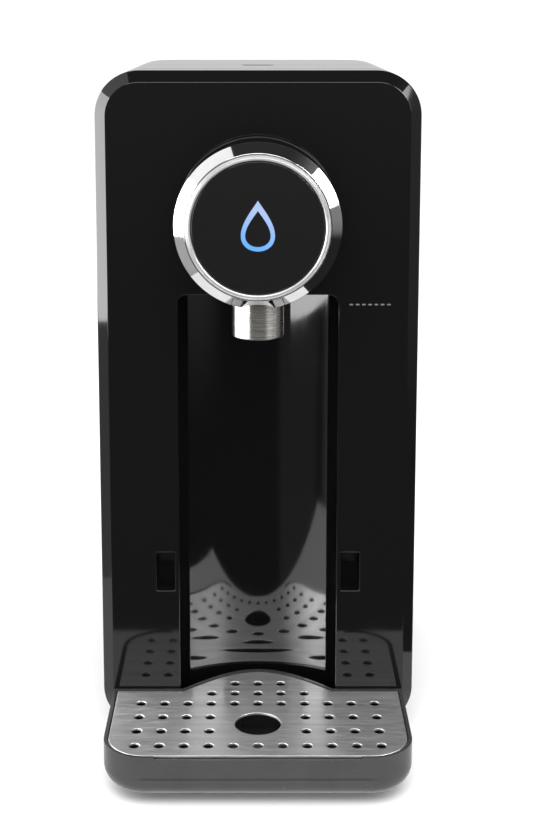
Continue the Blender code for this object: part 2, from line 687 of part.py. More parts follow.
def make_light_board():
    """Round board behind the disc, with the lamps that light the drop."""
    board = add_object("light_board", rod(0.0284, BOARD_FRONT, BOARD_FRONT + 0.0016, "Y", HEAD, 32),
                       "board_green", DATUM)
    lamps = []
    lamp_circle, half, count = 0.013, 0.0015, 6
    for i in range(count):
        angle = 2 * math.pi * (i + 0.5) / count
        x, z = lamp_circle * math.cos(angle), HEAD_Z + lamp_circle * math.sin(angle)
        lamps.append(box((x - half, BOARD_FRONT - 0.0010, z - half),
                         (x + half, BOARD_FRONT + 0.0006, z + half)))
    join(board, "lamps", merged(*lamps))


def make_tact_switch():
    back = BOARD_FRONT - GAP
    body = box((-0.003, back - 0.0020, HEAD_Z - 0.003), (0.003, back, HEAD_Z + 0.003))
    switch = add_object("tact_switch", body, "satin_black", DATUM)
    join(switch, "plunger", rod(0.0016, back - 0.0032, back - 0.0015, "Y", HEAD, 14))


def make_dial_ring():
    """Chrome ring that turns round the disc, with a sleeve behind its lip."""
    inner = 0.0339
    profile = [(DIAL_INNER_R, -0.0408), (DIAL_INNER_R + 0.0004, HEAD_FRONT),
               (DIAL_R - 0.0006, HEAD_FRONT), (DIAL_R, HEAD_FRONT + 0.0006), (DIAL_R, -0.0325),
               (inner, -0.0325), (inner, -0.0402), (DIAL_INNER_R, -0.0402)]
    add_object("dial_ring", turned(profile, "Y", HEAD, FINE, ring=True), "chrome", DIAL_AXIS)


def drop_outline(half, low, tip, count=28):
    """A water drop in front view, a round bottom drawn up to a pointed top: (x, z) points."""
    power = 1.25
    widest = 1 / (2 + power)
    peak = math.sqrt(1 - (2 * widest - 1) ** 2) * (1 - widest) ** (power / 2)
    points = []
    for i in range(count):
        t = 2 * math.pi * i / count
        x = half / peak * math.sin(t) * math.sin(t / 2) ** power
        points.append((x, low + (tip - low) * (1 + math.cos(t)) / 2))
    return points


def drop_band(grow, front, back):
    """The drop's outline as a band of even stroke; grow widens it at both edges."""
    sharp = 2.3             # the stroke is this much longer across the pointed tip
    inside = DROP_STROKE + grow
    outer = drop_outline(DROP_HALF + grow, DROP_LOW - grow, DROP_TIP + grow * sharp)
    inner = drop_outline(DROP_HALF - inside, DROP_LOW + inside, DROP_TIP - inside * sharp)
    rings = [[(x, y, HEAD_Z + z) for x, z in outline]
             for outline, y in ((outer, front), (outer, back), (inner, back), (inner, front))]
    return loft(rings, closed=True)


def make_touch_disc():
    """Gloss black button with a guiding skirt and a boss that meets the switch."""
    back, guide, guide_r, skin = -0.0383, -0.0328, 0.0286, 0.0016
    boss_r, boss = 0.0022, -0.0363
    profile = [(DISC_R - 0.0005, DISC_FRONT), (DISC_R, DISC_FRONT + 0.0005), (DISC_R, back),
               (guide_r, back), (guide_r, guide), (guide_r - skin, guide),
               (guide_r - skin, back), (boss_r, back), (boss_r, boss)]
    disc = add_object("touch_disc", turned(profile, "Y", HEAD, FINE), "gloss_black", BUTTON_AXIS)
    cut(disc, "drop_groove", drop_band(0.00012, DISC_FRONT - 0.002, DISC_FRONT + 0.0012))


def make_drop_light():
    band = drop_band(0.0, DISC_FRONT - 0.0001, DISC_FRONT + 0.0010)
    add_object("drop_light", band, "glow", BUTTON_AXIS)


def make_button_spring():
    coil("button_spring", "Y", HEAD, -0.0380, BOARD_FRONT - GAP, 0.0072, 0.0004, 3, "steel",
         BUTTON_AXIS)


# ---- water tank -----------------------------------------------------------------------------

def tank_plan(inset, half=WIDTH / 2):
    """Plan of the tank and its lid: square towards the cabinet, rounded at the back."""
    return rounded(half - inset, TANK_FRONT + inset, BODY_DEPTH - inset,
                   (max(0.0040 - inset, 0.0015), 0.0140 - inset), 4)


def hinge_ear(x0, x1):
    """One upright ear of the tank with a round top about the hinge axis."""
    radius, steps, foot = 0.0036, 10, PARTING_Z - 0.008
    outline = [(LID_AXIS_Y - radius, foot), (LID_AXIS_Y + radius, foot)]
    for i in range(steps + 1):
        angle = math.pi * i / steps
        outline.append((LID_AXIS_Y + radius * math.cos(angle),
                        LID_AXIS_Z + radius * math.sin(angle)))
    return loft([[(x, y, z) for y, z in outline] for x in (x0, x1)])


def make_water_tank():
    """Smoked tank, open at the top, with an outlet spigot and two hinge ears."""
    low = BASE_TOP + GAP
    levels = ((0.003, low), (0.0, low + 0.003), (0.0, PARTING_Z), (TANK_WALL, PARTING_Z),
              (TANK_WALL, low + 0.005), (TANK_WALL + 0.002, low + 0.003))
    rings = [[(x, y, z) for x, y in tank_plan(inset)] for inset, z in levels]
    tank = add_object("water_tank", loft(rings), "smoke", TANK_AXIS)
    join(tank, "spigot", rod(0.0110, BASE_TOP - 0.0052, low + 0.002, "Z", VALVE, 20))
    cut(tank, "outlet", rod(0.0075, BASE_TOP - 0.0040, low + OVER, "Z", VALVE, 20))
    cut(tank, "outlet_mouth", rod(0.0036, BASE_TOP - OVER, BASE_TOP, "Z", VALVE, 20))
    join(tank, "hinge_ears", merged(hinge_ear(-EAR_OUT, -EAR_IN), hinge_ear(EAR_IN, EAR_OUT)))
    cut(tank, "pin_holes", rod(LID_PIN_R + GAP, -0.040, 0.040, "X", LID_AXIS, 16))


def make_tank_valve():
    """Valve that the cradle's pin lifts, with its spring, seal ring and strainer."""
    seat = BASE_TOP - 0.0040
    stem = [(0.0022, seat - 0.0018), (0.0022, seat + 0.0022), (0.0062, seat + 0.0022),
            (0.0062, seat + 0.0042), (0.0022, seat + 0.0042), (0.0022, seat + 0.0100)]
    add_object("tank_valve", turned(stem, "Z", VALVE, 20), "white_plastic", TANK_AXIS)
    coil("tank_valve_spring", "Z", VALVE, seat + 0.0045, seat + 0.0120, 0.0042, 0.00035, 3,
         "steel", TANK_AXIS)
    seal = [(0.01175 + 0.00045 * math.cos(t), BASE_TOP - 0.0030 + 0.00045 * math.sin(t))
            for t in [2 * math.pi * i / 6 for i in range(6)]]
    add_object("tank_seal", turned(seal, "Z", VALVE, 16, ring=True), "rubber", TANK_AXIS)
    base, top = BASE_TOP + 0.0037, BASE_TOP + 0.0150
    cup = [(0.0085, top - 0.0015), (0.0098, top - 0.0030), (0.0098, base), (0.0110, base),
           (0.0110, top - 0.0030), (0.0090, top)]
    add_object("tank_strainer", turned(cup, "Z", VALVE, 20), "white_plastic", TANK_AXIS)


def make_tank_lid():
    """Hollow top slice of the cabinet's outline, hinged at the back of the tank."""
    low = PARTING_Z + GAP
    steps = 6
    outer, inner = [(WIDTH / 2, low)], []
    for i in range(steps + 1):
        angle = math.radians(90 * i / steps)
        drop, shift = CORNER * (1 - math.sin(angle)), CORNER * (1 - math.cos(angle))
        outer.append((WIDTH / 2 - shift, HEIGHT - drop))
    hollow = CORNER - WALL
    for i in range(steps + 1):
        angle = math.radians(90 - 90 * i / steps)
        drop, shift = hollow * (1 - math.sin(angle)), hollow * (1 - math.cos(angle))
        inner.append((WIDTH / 2 - shift, HEIGHT - WALL - drop))
    inner.append((WIDTH / 2, low))
    rings = [[(x, y, z) for x, y in tank_plan(WALL, half)] for half, z in inner]
    rings += [[(x, y, z) for x, y in tank_plan(0.0, half)] for half, z in outer]
    lid = add_object("tank_lid", loft(rings), "gloss_black", LID_AXIS_EMPTY)
    round_r, far = 0.0044, 0.020
    rear = [(LID_AXIS_Y + far, LID_AXIS_Z), (LID_AXIS_Y + round_r, LID_AXIS_Z)]
    for i in range(1, 7):
        angle = math.radians(15 * i)
        rear.append((LID_AXIS_Y + round_r * math.cos(angle),
                     LID_AXIS_Z - round_r * math.sin(angle)))
    rear += [(LID_AXIS_Y, low - far), (LID_AXIS_Y + far, low - far)]
    cut(lid, "rear_edge", loft([[(x, y, z) for y, z in rear] for x in (-WIDTH, WIDTH)]))
    join(lid, "knuckle", rod(0.0038, -EAR_IN + GAP, EAR_IN - GAP, "X", LID_AXIS, 20))
    slots = []
    for side in (-1, 1):
        x0, x1 = sorted((side * (EAR_IN - GAP), side * (EAR_OUT + GAP)))
        slots.append(box((x0, LID_AXIS_Y - 0.006, low - far),
                         (x1, LID_AXIS_Y + far, LID_AXIS_Z + 0.0042)))
    cut(lid, "ear_slots", merged(*slots))
    cut(lid, "lid_pin_hole", rod(LID_PIN_R + GAP, -0.040, 0.040, "X", LID_AXIS, 16))


def make_lid_pin():
    add_object("lid_pin", rod(LID_PIN_R, -0.0295, 0.0295, "X", LID_AXIS, 14), "steel", TANK_AXIS)


# ---- drip tray ------------------------------------------------------------------------------

def tray_plan(inset, rear=TRAY_REAR):
    """Plan of the tray without its hump: round corners in front, square against the panel."""
    return rounded(TRAY_HALF - inset, -TRAY_REACH + inset, rear, (TRAY_CORNER - inset, 0.0), 6)


def tub(inset, floor, top, rear, radius, steps=5):
    """A tray-shaped solid whose walls round into its floor. The rear wall stays upright."""
    rings = []
    for i in range(steps + 1):
        angle = math.radians(90 * i / steps)
        pull = inset + radius * (1 - math.sin(angle))
        z = floor + radius * (1 - math.cos(angle))
        rings.append([(x, y, z) for x, y in tray_plan(pull, rear)])
    rings.append([(x, y, top) for x, y in tray_plan(inset, rear)])
    return loft(rings)


def hump(half, start, peak, low, high):
    """The lobe of the tray that reaches into the niche."""
    return plan_prism([(half, start - 0.010), *bell(half, start, peak), (-half, start - 0.010)],
                      low, high)


def make_drip_tray():
    """Tub with a ledge for the grid, a hump into the niche and two tongues for the slots."""
    tray = add_object("drip_tray", tub(0.0, TRAY_BOTTOM, TRAY_RIM, TRAY_REAR, TRAY_ROUND),
                      "tray_grey", TRAY_AXIS)
    join(tray, "tray_hump", hump(HUMP_HALF + 0.0010, TRAY_REAR - 0.0005, HUMP_PEAK + 0.0033,
                                 TRAY_HUMP_FLOOR, TRAY_RIM))
    tongues = [box((x - TONGUE_HALF, TRAY_REAR - 0.003, 0.0120),
                   (x + TONGUE_HALF, TRAY_REAR + 0.0080, 0.0225)) for x in (-SLOT_X, SLOT_X)]
    join(tray, "tongues", merged(*tongues))
    thick = TRAY_WALL + TRAY_LEDGE
    ledge = PLATE_Z - PLATE_T - GAP
    rear = PLATE_REAR - TRAY_LEDGE
    cut(tray, "tub_space", tub(thick, TRAY_BOTTOM + TRAY_WALL, ledge + 0.0020, rear,
                               TRAY_ROUND - thick))
    cut(tray, "hump_space", hump(HUMP_HALF - 0.0035, rear, HUMP_PEAK - 0.0025,
                                 TRAY_HUMP_FLOOR + TRAY_WALL, ledge + 0.0021))
    cut(tray, "grid_seat", grid_blank(-2 * GAP, ledge, TRAY_RIM + OVER))
    notch = [(-0.0530, TRAY_RIM + OVER), (-0.0500, TRAY_RIM - 0.0014),
             (0.0500, TRAY_RIM - 0.0014), (0.0530, TRAY_RIM + OVER)]
    cut(tray, "finger_gap", front_prism(notch, -TRAY_REACH - OVER, PLATE_FRONT + 0.001))


def grid_blank(inset, low, high):
    """The grid's outline as a prism: round front corners, straight rear edge with the hump."""
    half, radius = PLATE_HALF - inset, PLATE_CORNER - inset
    rear = PLATE_REAR - inset
    outline = rounded(half, PLATE_FRONT + inset, rear, (radius, 0.0), 6)
    split = outline.index((half, rear)) + 1
    lobe = bell(HUMP_HALF - inset, rear, HUMP_PEAK - inset)
    return plan_prism(outline[:split] + lobe + outline[split:], low, high)


def grid_holes():
    """Rows of small holes, thinned beside the large centre hole and on the hump."""
    front_row = CENTRE_HOLE_Y - 1.5 * ROW_PITCH - 0.0003
    rows = [(front_row, range(-5, 6)), (front_row + ROW_PITCH, (-5, -4, -3, -2, 2, 3, 4, 5)),
            (front_row + 2 * ROW_PITCH, (-5, -4, -3, -2, 2, 3, 4, 5)),
            (front_row + 3 * ROW_PITCH, range(-5, 6)),
            (front_row + 3 * ROW_PITCH + 0.0116, range(-2, 3)),
            (front_row + 3 * ROW_PITCH + 0.0232, range(-1, 2))]
    return [(i * HOLE_PITCH, y) for y, columns in rows for i in columns]


def make_drip_grid():
    low = PLATE_Z - PLATE_T
    grid = add_object("drip_grid", grid_blank(0.0, low, PLATE_Z), "steel", GRID_AXIS)
    holes = [rod(HOLE_R, low - 0.002, PLATE_Z + 0.002, "Z", spot, 8) for spot in grid_holes()]
    centre = rod(CENTRE_HOLE_R, low - 0.002, PLATE_Z + 0.002, "Z", (0, CENTRE_HOLE_Y), 32)
    cut(grid, "grid_holes", merged(centre, *holes))


def make_tray_feet():
    """Small round feet under the front of the tray."""
    profile = [(0.0040, 0.0), (0.0046, 0.0006), (0.0046, TRAY_BOTTOM - GAP)]
    for side, x in (("left", -TRAY_FOOT_X), ("right", TRAY_FOOT_X)):
        foot = turned(profile, "Z", (x, TRAY_FOOT_Y), 18)
        add_object(f"tray_foot_{side}", foot, "rubber", TRAY_AXIS)


# ---- assembly -------------------------------------------------------------------------------

clear_scene()
SHADES = make_materials()
DATUM = axis_empty("panel_datum", (0, PANEL_Y, 0))
DIAL_AXIS = axis_empty("dial_axis", (0, HEAD_FRONT, HEAD_Z), DATUM)
BUTTON_AXIS = axis_empty("button_axis", (0, DISC_FRONT, HEAD_Z), DATUM)
TANK_AXIS = axis_empty("tank_axis", (0, VALVE_Y, BASE_TOP), DATUM)
LID_AXIS_EMPTY = axis_empty("lid_axis", (0, LID_AXIS_Y, LID_AXIS_Z), DATUM)
TRAY_AXIS = axis_empty("tray_axis", (0, TRAY_REAR, PLATE_Z), DATUM)
GRID_AXIS = axis_empty("grid_axis", (0, CENTRE_HOLE_Y, PLATE_Z), DATUM)

for make in (
    make_front_panel, make_body_shell, make_base_plate, make_rear_cover, make_cover_screws,
    make_cord_gland, make_body_feet, make_niche_liner, make_tank_cradle, make_cradle_pin,
    make_pump, make_flow_meter, make_heater, make_control_board, make_hoses, make_head_collar,
    make_head_band, make_head_housing, make_ring_bearing, make_nozzle, make_nozzle_insert,
    make_outlet_elbow, make_light_board, make_tact_switch, make_dial_ring, make_touch_disc,
    make_drop_light, make_button_spring, make_water_tank, make_tank_valve, make_tank_lid,
    make_lid_pin, make_drip_tray, make_tray_feet, make_drip_grid,
):
    make()
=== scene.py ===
"""Looks of the countertop water dispenser: fine surfaces, materials, light and camera.

Shapes are written in the panel frame of the design: metres, +Z up, front towards -Y, with Y = 0 on
the front face of the cabinet. fine() and extra() carry them to their place in the row frame.
"""

import json
import math

import bmesh
import bpy
from mathutils import Matrix, Quaternion, Vector

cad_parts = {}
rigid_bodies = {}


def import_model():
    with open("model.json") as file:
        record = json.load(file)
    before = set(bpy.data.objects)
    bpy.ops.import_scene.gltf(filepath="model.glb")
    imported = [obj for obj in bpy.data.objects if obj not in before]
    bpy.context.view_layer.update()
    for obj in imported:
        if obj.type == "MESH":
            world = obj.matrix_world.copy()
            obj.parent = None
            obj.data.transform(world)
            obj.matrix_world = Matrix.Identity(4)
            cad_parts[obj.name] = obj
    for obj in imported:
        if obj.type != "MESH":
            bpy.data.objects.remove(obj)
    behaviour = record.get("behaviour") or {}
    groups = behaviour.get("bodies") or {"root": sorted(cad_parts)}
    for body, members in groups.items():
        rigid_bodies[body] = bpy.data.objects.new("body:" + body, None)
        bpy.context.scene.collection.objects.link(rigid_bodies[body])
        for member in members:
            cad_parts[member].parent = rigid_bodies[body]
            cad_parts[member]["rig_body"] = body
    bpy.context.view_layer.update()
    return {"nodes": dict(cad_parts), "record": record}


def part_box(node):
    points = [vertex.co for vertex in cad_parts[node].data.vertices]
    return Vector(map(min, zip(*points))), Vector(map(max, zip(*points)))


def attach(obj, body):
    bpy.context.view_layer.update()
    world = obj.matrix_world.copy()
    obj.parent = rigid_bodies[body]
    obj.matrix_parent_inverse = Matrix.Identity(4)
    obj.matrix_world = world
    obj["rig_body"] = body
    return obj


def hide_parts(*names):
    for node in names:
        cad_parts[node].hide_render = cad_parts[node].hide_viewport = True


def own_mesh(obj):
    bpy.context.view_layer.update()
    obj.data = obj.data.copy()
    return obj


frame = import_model()

NODES = frame["nodes"]
SLOT_OF = {part["node"]: part["material_slot"] for part in frame["record"]["subparts"]}
PANEL_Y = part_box("front_panel")[0].y


def span(node):
    """Lowest and highest corner of a CAD node in the panel frame."""
    low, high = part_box(node)
    shift = Vector((0, PANEL_Y, 0))
    return low - shift, high - shift


# ---- measures, from the frame where a node's box gives them -------------------------------

GAP = 0.0003
WALL = 0.0025
CORNER = 0.0227
RIM_INSET, RIM_DEPTH = 0.0058, 0.0053
PANEL_SKIN = 0.0030

_low, _high = span("front_panel")
HALF, HEIGHT, BODY_BOTTOM, PANEL_DEPTH = _high.x, _high.z, _low.z, _high.y
_low, _high = span("tank_lid")
PARTING_Z, BODY_DEPTH = _low.z - GAP, _high.y
_low, _high = span("water_tank")
TANK_FRONT = _low.y
BAY_FRONT = TANK_FRONT - 0.0006
BASE_TOP = 0.0585

_low, _high = span("head_band")
HEAD_Z, BAND_R = (_low.z + _high.z) / 2, _high.x
DISC_FRONT, DISC_R = span("touch_disc")[0].y, span("touch_disc")[1].x
_low, _high = span("dial_ring")
HEAD_FRONT, DIAL_R, DIAL_REAR = _low.y, _high.x, _high.y
COLLAR_R = 0.0400
HEAD_HOLE_R = 0.0324

_low, _high = span("nozzle")
NOZZLE_R, NOZZLE_BOTTOM, NOZZLE_TOP, NOZZLE_Y = _high.x, _low.z, _high.z, (_low.y + _high.y) / 2
NOZZLE_SKIN = 0.0013

NICHE_SKIN = 0.0020
_low, _high = span("niche_liner")
NICHE_HALF, NICHE_DEPTH = _high.x - NICHE_SKIN, _high.y - NICHE_SKIN
NICHE_BOTTOM, NICHE_TOP = _low.z + NICHE_SKIN, _high.z - NICHE_SKIN
NICHE_CORNER = 0.0050
NICHE_KNEE_HALF, NICHE_KNEE_DEPTH = 0.0370, 0.0125

SLOT_X, SLOT_W = 0.0484, 0.0096
SLOT_LOW, SLOT_HIGH = HEIGHT - 0.2718, HEIGHT - 0.2507
LOWER_SLOT_LOW, LOWER_SLOT_HIGH = 0.0098, 0.0258

_low, _high = span("drip_grid")
PLATE_HALF, PLATE_FRONT, PLATE_Z, HUMP_PEAK = _high.x, _low.y, _high.z, _high.y
PLATE_T, PLATE_REAR, PLATE_CORNER, HUMP_HALF = 0.0012, -0.0030, 0.0190, 0.0395
HOLE_R, CENTRE_HOLE_R, CENTRE_HOLE_Y = 0.0026, 0.0117, -0.0392
HOLE_PITCH, ROW_PITCH = 0.01214, 0.0150

_low, _high = span("drip_tray")
TRAY_HALF, TRAY_FRONT, TRAY_BOTTOM, TRAY_RIM = _high.x, _low.y, _low.z, _high.z
TRAY_ROUND, TRAY_CORNER, TRAY_REAR = 0.0105, 0.0214, -0.0005
TRAY_WALL, TRAY_LEDGE, TRAY_HUMP_FLOOR = 0.0020, 0.0020, 0.0135
TONGUE_HALF = 0.0042

LID_AXIS_Y, LID_AXIS_Z = BODY_DEPTH - 0.0046, PARTING_Z + 0.0062
LID_PIN_R = 0.0015
EAR_IN, EAR_OUT = 0.0240, 0.0270
TANK_WALL = 0.0025
VALVE = (0, 0.1330)

HEAD, SPOUT, LID_AXIS = (0, HEAD_Z), (0, NOZZLE_Y), (LID_AXIS_Y, LID_AXIS_Z)
OVER = 0.010
FINE, ROUND = 144, 64


# ---- mesh building blocks -----------------------------------------------------------------

def softened(corners, closed=False, steps=5):
    """Rounds a polyline's corners: (u, v, radius) corners in, (u, v) points out."""
    points = []
    count = len(corners)
    for i, (u, v, radius) in enumerate(corners):
        corner = Vector((u, v))
        if radius <= 0 or (not closed and i in (0, count - 1)):
            points.append((u, v))
            continue
        back = Vector(corners[i - 1][:2]) - corner
        ahead = Vector(corners[(i + 1) % count][:2]) - corner
        bend = max(back.angle(ahead), 0.05)
        reach = min(radius / math.tan(bend / 2), back.length * 0.49, ahead.length * 0.49)
        start, end = corner + back.normalized() * reach, corner + ahead.normalized() * reach
        for k in range(steps + 1):
            t = k / steps
            spot = start * (1 - t) ** 2 + corner * 2 * t * (1 - t) + end * t ** 2
            points.append((spot.x, spot.y))
    return points


def rounded(half, low, high, radii, steps=16):
    """A rectangle with round corners, |u| <= half and low <= v <= high; radii (bottom, top)."""
    bottom, top = radii
    corners = (
        (half - bottom, low + bottom, bottom, -90),
        (half - top, high - top, top, 0),
        (-half + top, high - top, top, 90),
        (-half + bottom, low + bottom, bottom, 180),
    )
    points = []
    for u, v, radius, start in corners:
        count = steps if radius > 0 else 0
        for i in range(count + 1):
            angle = math.radians(start + 90 * i / max(count, 1))
            points.append((u + radius * math.cos(angle), v + radius * math.sin(angle)))
    return points


def strip(bm, rings, wrap=False):
    """Adds a skin over rings of equal length and returns the rows of its vertices."""
    rows = [[bm.verts.new(point) for point in ring] for ring in rings]
    pairs = list(zip(rows, rows[1:]))
    if wrap:
        pairs.append((rows[-1], rows[0]))
    for lower, upper in pairs:
        count = len(lower)
        for i in range(count):
            j = (i + 1) % count
            bm.faces.new((lower[i], lower[j], upper[j], upper[i]))
    return rows


def fill(bm, *loops):
    """Closes the flat region inside the first loop of vertices and outside the others."""
    edges = []
    for loop in loops:
        for i, vert in enumerate(loop):
            pair = (vert, loop[(i + 1) % len(loop)])
            edges.append(bm.edges.get(pair) or bm.edges.new(pair))
    bmesh.ops.triangle_fill(bm, edges=edges, use_beauty=True, use_dissolve=False)


def loft(rings, wrap=False):
    """A closed skin over rings: capped at both ends, or closed round like a tyre."""
    bm = bmesh.new()
    rows = strip(bm, rings, wrap)
    if not wrap:
        bm.faces.new(rows[0])
        bm.faces.new(rows[-1])
    return bm


def circle(radius, along, axis, centre, sides):
    points = []
    for i in range(sides):
        angle = 2 * math.pi * i / sides
        u = centre[0] + radius * math.cos(angle)
        v = centre[1] + radius * math.sin(angle)
        points.append({"X": (along, u, v), "Y": (u, along, v), "Z": (u, v, along)}[axis])
    return points


def turned(profile, axis, centre, sides=ROUND, ring=False):
    """A turned solid from (radius, along) pairs, or a turned ring if its profile is a loop."""
    return loft([circle(r, a, axis, centre, sides) for r, a in profile], wrap=ring)


def rod(radius, start, end, axis, centre, sides=32):
    return turned([(radius, start), (radius, end)], axis, centre, sides)


def box(low, high):
    (x0, y0, z0), (x1, y1, z1) = low, high
    base = [(x0, y0), (x1, y0), (x1, y1), (x0, y1)]
    return loft([[(x, y, z) for x, y in base] for z in (z0, z1)])


def front_prism(outline, y0, y1):
    return loft([[(x, y, z) for x, z in outline] for y in (y0, y1)])


def plan_prism(outline, z0, z1):
    return loft([[(x, y, z) for x, y in outline] for z in (z0, z1)])


def cabinet_outline(inset, steps=20):
    radius = CORNER - inset
    return rounded(HALF - inset, BODY_BOTTOM + inset, HEIGHT - inset, (radius, radius), steps)


def as_object(name, bm):
    bmesh.ops.recalc_face_normals(bm, faces=bm.faces)
    bmesh.ops.translate(bm, verts=bm.verts, vec=(0, PANEL_Y, 0))
    mesh = bpy.data.meshes.new(name)
    bm.to_mesh(mesh)
    bm.free()
    obj = bpy.data.objects.new(name, mesh)
    bpy.context.scene.collection.objects.link(obj)
    return obj


def combined(obj, tools, operation):
    """Cuts or joins tools with obj and keeps the result as its mesh."""
    for number, bm in enumerate(tools):
        tool = as_object(f"tool_{number}", bm)
        boolean = obj.modifiers.new("boolean", "BOOLEAN")
        boolean.operation = operation
        boolean.solver = "EXACT"
        boolean.object = tool
        graph = bpy.context.evaluated_depsgraph_get()
        mesh = bpy.data.meshes.new_from_object(obj.evaluated_get(graph))
        obj.modifiers.clear()
        obj.data = mesh
        bpy.data.objects.remove(tool)


def finish_surface(obj, edge, sharp):
    """Smooth shading, small round edges of width edge, and flat faces that stay flat."""
    mesh = obj.data
    bm = bmesh.new()
    bm.from_mesh(mesh)
    bmesh.ops.remove_doubles(bm, verts=bm.verts, dist=0.000002)
    bmesh.ops.dissolve_degenerate(bm, edges=bm.edges, dist=0.000002)
    bm.to_mesh(mesh)
    bm.free()
    mesh.shade_smooth()
    if edge:
        bevel = obj.modifiers.new("round_edges", "BEVEL")
        bevel.width = edge
        bevel.segments = 3
        bevel.limit_method = "ANGLE"
        bevel.angle_limit = math.radians(sharp)
        bevel.harden_normals = False
        bevel.use_clamp_overlap = True
        bevel.miter_outer = "MITER_ARC"
    else:
        mesh.set_sharp_from_angle(angle=math.radians(sharp))
    even = obj.modifiers.new("flat_faces", "WEIGHTED_NORMAL")
    even.mode = "FACE_AREA"
    even.keep_sharp = True


def fine(node, bm, joins=(), cuts=(), edge=0.0, sharp=32, finish=None):
    """A detailed piece that stands for a CAD node: its body, slot and material follow the node."""
    obj = as_object(f"fine_{node}", bm)
    combined(obj, joins, "UNION")
    combined(obj, cuts, "DIFFERENCE")
    finish_surface(obj, edge, sharp)
    obj.data.materials.clear()
    obj.data.materials.append(material_of(finish or SLOT_OF[node]))
    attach(obj, NODES[node]["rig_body"])
    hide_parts(node)
    return obj


def extra(name, bm, material, body, edge=0.0, sharp=32, joins=(), cuts=()):
    """A detail that has no CAD node of its own."""
    obj = as_object(name, bm)
    combined(obj, joins, "UNION")
    combined(obj, cuts, "DIFFERENCE")
    finish_surface(obj, edge, sharp)
    obj.data.materials.clear()
    obj.data.materials.append(material)
    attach(obj, body)
    return obj


# ---- materials ----------------------------------------------------------------------------

class Shade:
    """A material under construction: a Principled shader with short calls for its textures."""

    def __init__(self, name, colour, roughness, metallic=0.0, **constants):
        self.material = bpy.data.materials.new(name)
        self.material.use_nodes = True
        self.tree = self.material.node_tree
        self.shader = self.tree.nodes["Principled BSDF"]
        self.place = self.add("ShaderNodeTexCoord").outputs["Object"]
        self.set("Base Color", (*colour, 1.0))
        self.set("Roughness", roughness)
        self.set("Metallic", metallic)
        for socket, value in constants.items():
            self.set(socket.replace("_", " "), value)

    def add(self, kind):
        return self.tree.nodes.new(kind)

    def set(self, socket, value):
        """Puts a constant or another node's output on one of the shader's sockets."""
        if isinstance(value, bpy.types.NodeSocket):
            self.tree.links.new(value, self.shader.inputs[socket])
        else:
            self.shader.inputs[socket].default_value = value

    def noise(self, scale, detail=3.0, stretch=(1, 1, 1), rough=0.5):
        """Noise over the object; scale is in features per metre, stretch scales its axes."""
        mapping = self.add("ShaderNodeMapping")
        mapping.inputs["Scale"].default_value = stretch
        self.tree.links.new(self.place, mapping.inputs["Vector"])
        node = self.add("ShaderNodeTexNoise")
        node.inputs["Scale"].default_value = scale
        node.inputs["Detail"].default_value = detail
        node.inputs["Roughness"].default_value = rough
        self.tree.links.new(mapping.outputs["Vector"], node.inputs["Vector"])
        return node.outputs["Fac"]

    def spread(self, value, low, high, start=0.3, end=0.7):
        """Maps start..end of a texture to low..high, and holds it there outside."""
        node = self.add("ShaderNodeMapRange")
        for socket, number in (("From Min", start), ("From Max", end),
                               ("To Min", low), ("To Max", high)):
            node.inputs[socket].default_value = number
        self.tree.links.new(value, node.inputs["Value"])
        return node.outputs["Result"]

    def cloud(self, scale, detail):
        """Noise spread over the whole range from 0 to 1."""
        return self.spread(self.noise(scale, detail), 0, 1)

    def sum(self, a, b):
        node = self.add("ShaderNodeMath")
        node.operation = "ADD"
        self.tree.links.new(a, node.inputs[0])
        self.tree.links.new(b, node.inputs[1])
        return node.outputs["Value"]

    def blend(self, factor, first, second):
        """A colour between two colours."""
        node = self.add("ShaderNodeMix")
        node.data_type = "RGBA"
        self.tree.links.new(factor, node.inputs["Factor"])
        for socket, colour in (("A", first), ("B", second)):
            target = [s for s in node.inputs if s.name == socket and s.type == "RGBA"][0]
            target.default_value = (*colour, 1.0)
        return [s for s in node.outputs if s.type == "RGBA"][0]

    def bump(self, height, distance, strength=1.0):
        """Relief: height is a texture, distance its depth in metres. Calls add up."""
        node = self.add("ShaderNodeBump")
        node.inputs["Distance"].default_value = distance
        node.inputs["Strength"].default_value = strength
        self.tree.links.new(height, node.inputs["Height"])
        socket = self.shader.inputs["Normal"]
        if socket.links:
            self.tree.links.new(socket.links[0].from_socket, node.inputs["Normal"])
        self.tree.links.new(node.outputs["Normal"], socket)


def gloss(name, tone, ior, wave=0.000010):
    """Polished black plastic: mirror gloss, faint moulding waves, hairlines and a little dust."""
    shade = Shade(name, (tone, tone, tone * 1.06), 0.05, IOR=ior)
    smudge = shade.spread(shade.noise(28, 4), 0.030, 0.075)
    hair = shade.spread(shade.noise(900, 2, (1, 1, 0.03)), 0.0, 0.035, 0.60, 0.75)
    shade.set("Roughness", shade.sum(smudge, hair))
    dust = shade.spread(shade.noise(2600, 1), 0.0, 1.0, 0.76, 0.82)
    shade.set("Base Color", shade.blend(dust, (tone, tone, tone * 1.06), (0.05, 0.05, 0.05)))
    shade.bump(shade.noise(45, 2), wave)
    return shade.material


def moulded(name, colour, roughness, grain=0.00004, scale=2200, vary=0.25, **constants):
    """Plastic with a fine spark-eroded grain and slight colour variation."""
    shade = Shade(name, colour, roughness, **constants)
    light = tuple(min(1.0, c * (1 + vary)) for c in colour)
    dark = tuple(c * (1 - vary) for c in colour)
    shade.set("Base Color", shade.blend(shade.cloud(60, 4), dark, light))
    shade.set("Roughness", shade.spread(shade.noise(140, 3), roughness * 0.82, roughness * 1.18))
    shade.bump(shade.noise(scale, 2), grain)
    return shade.material


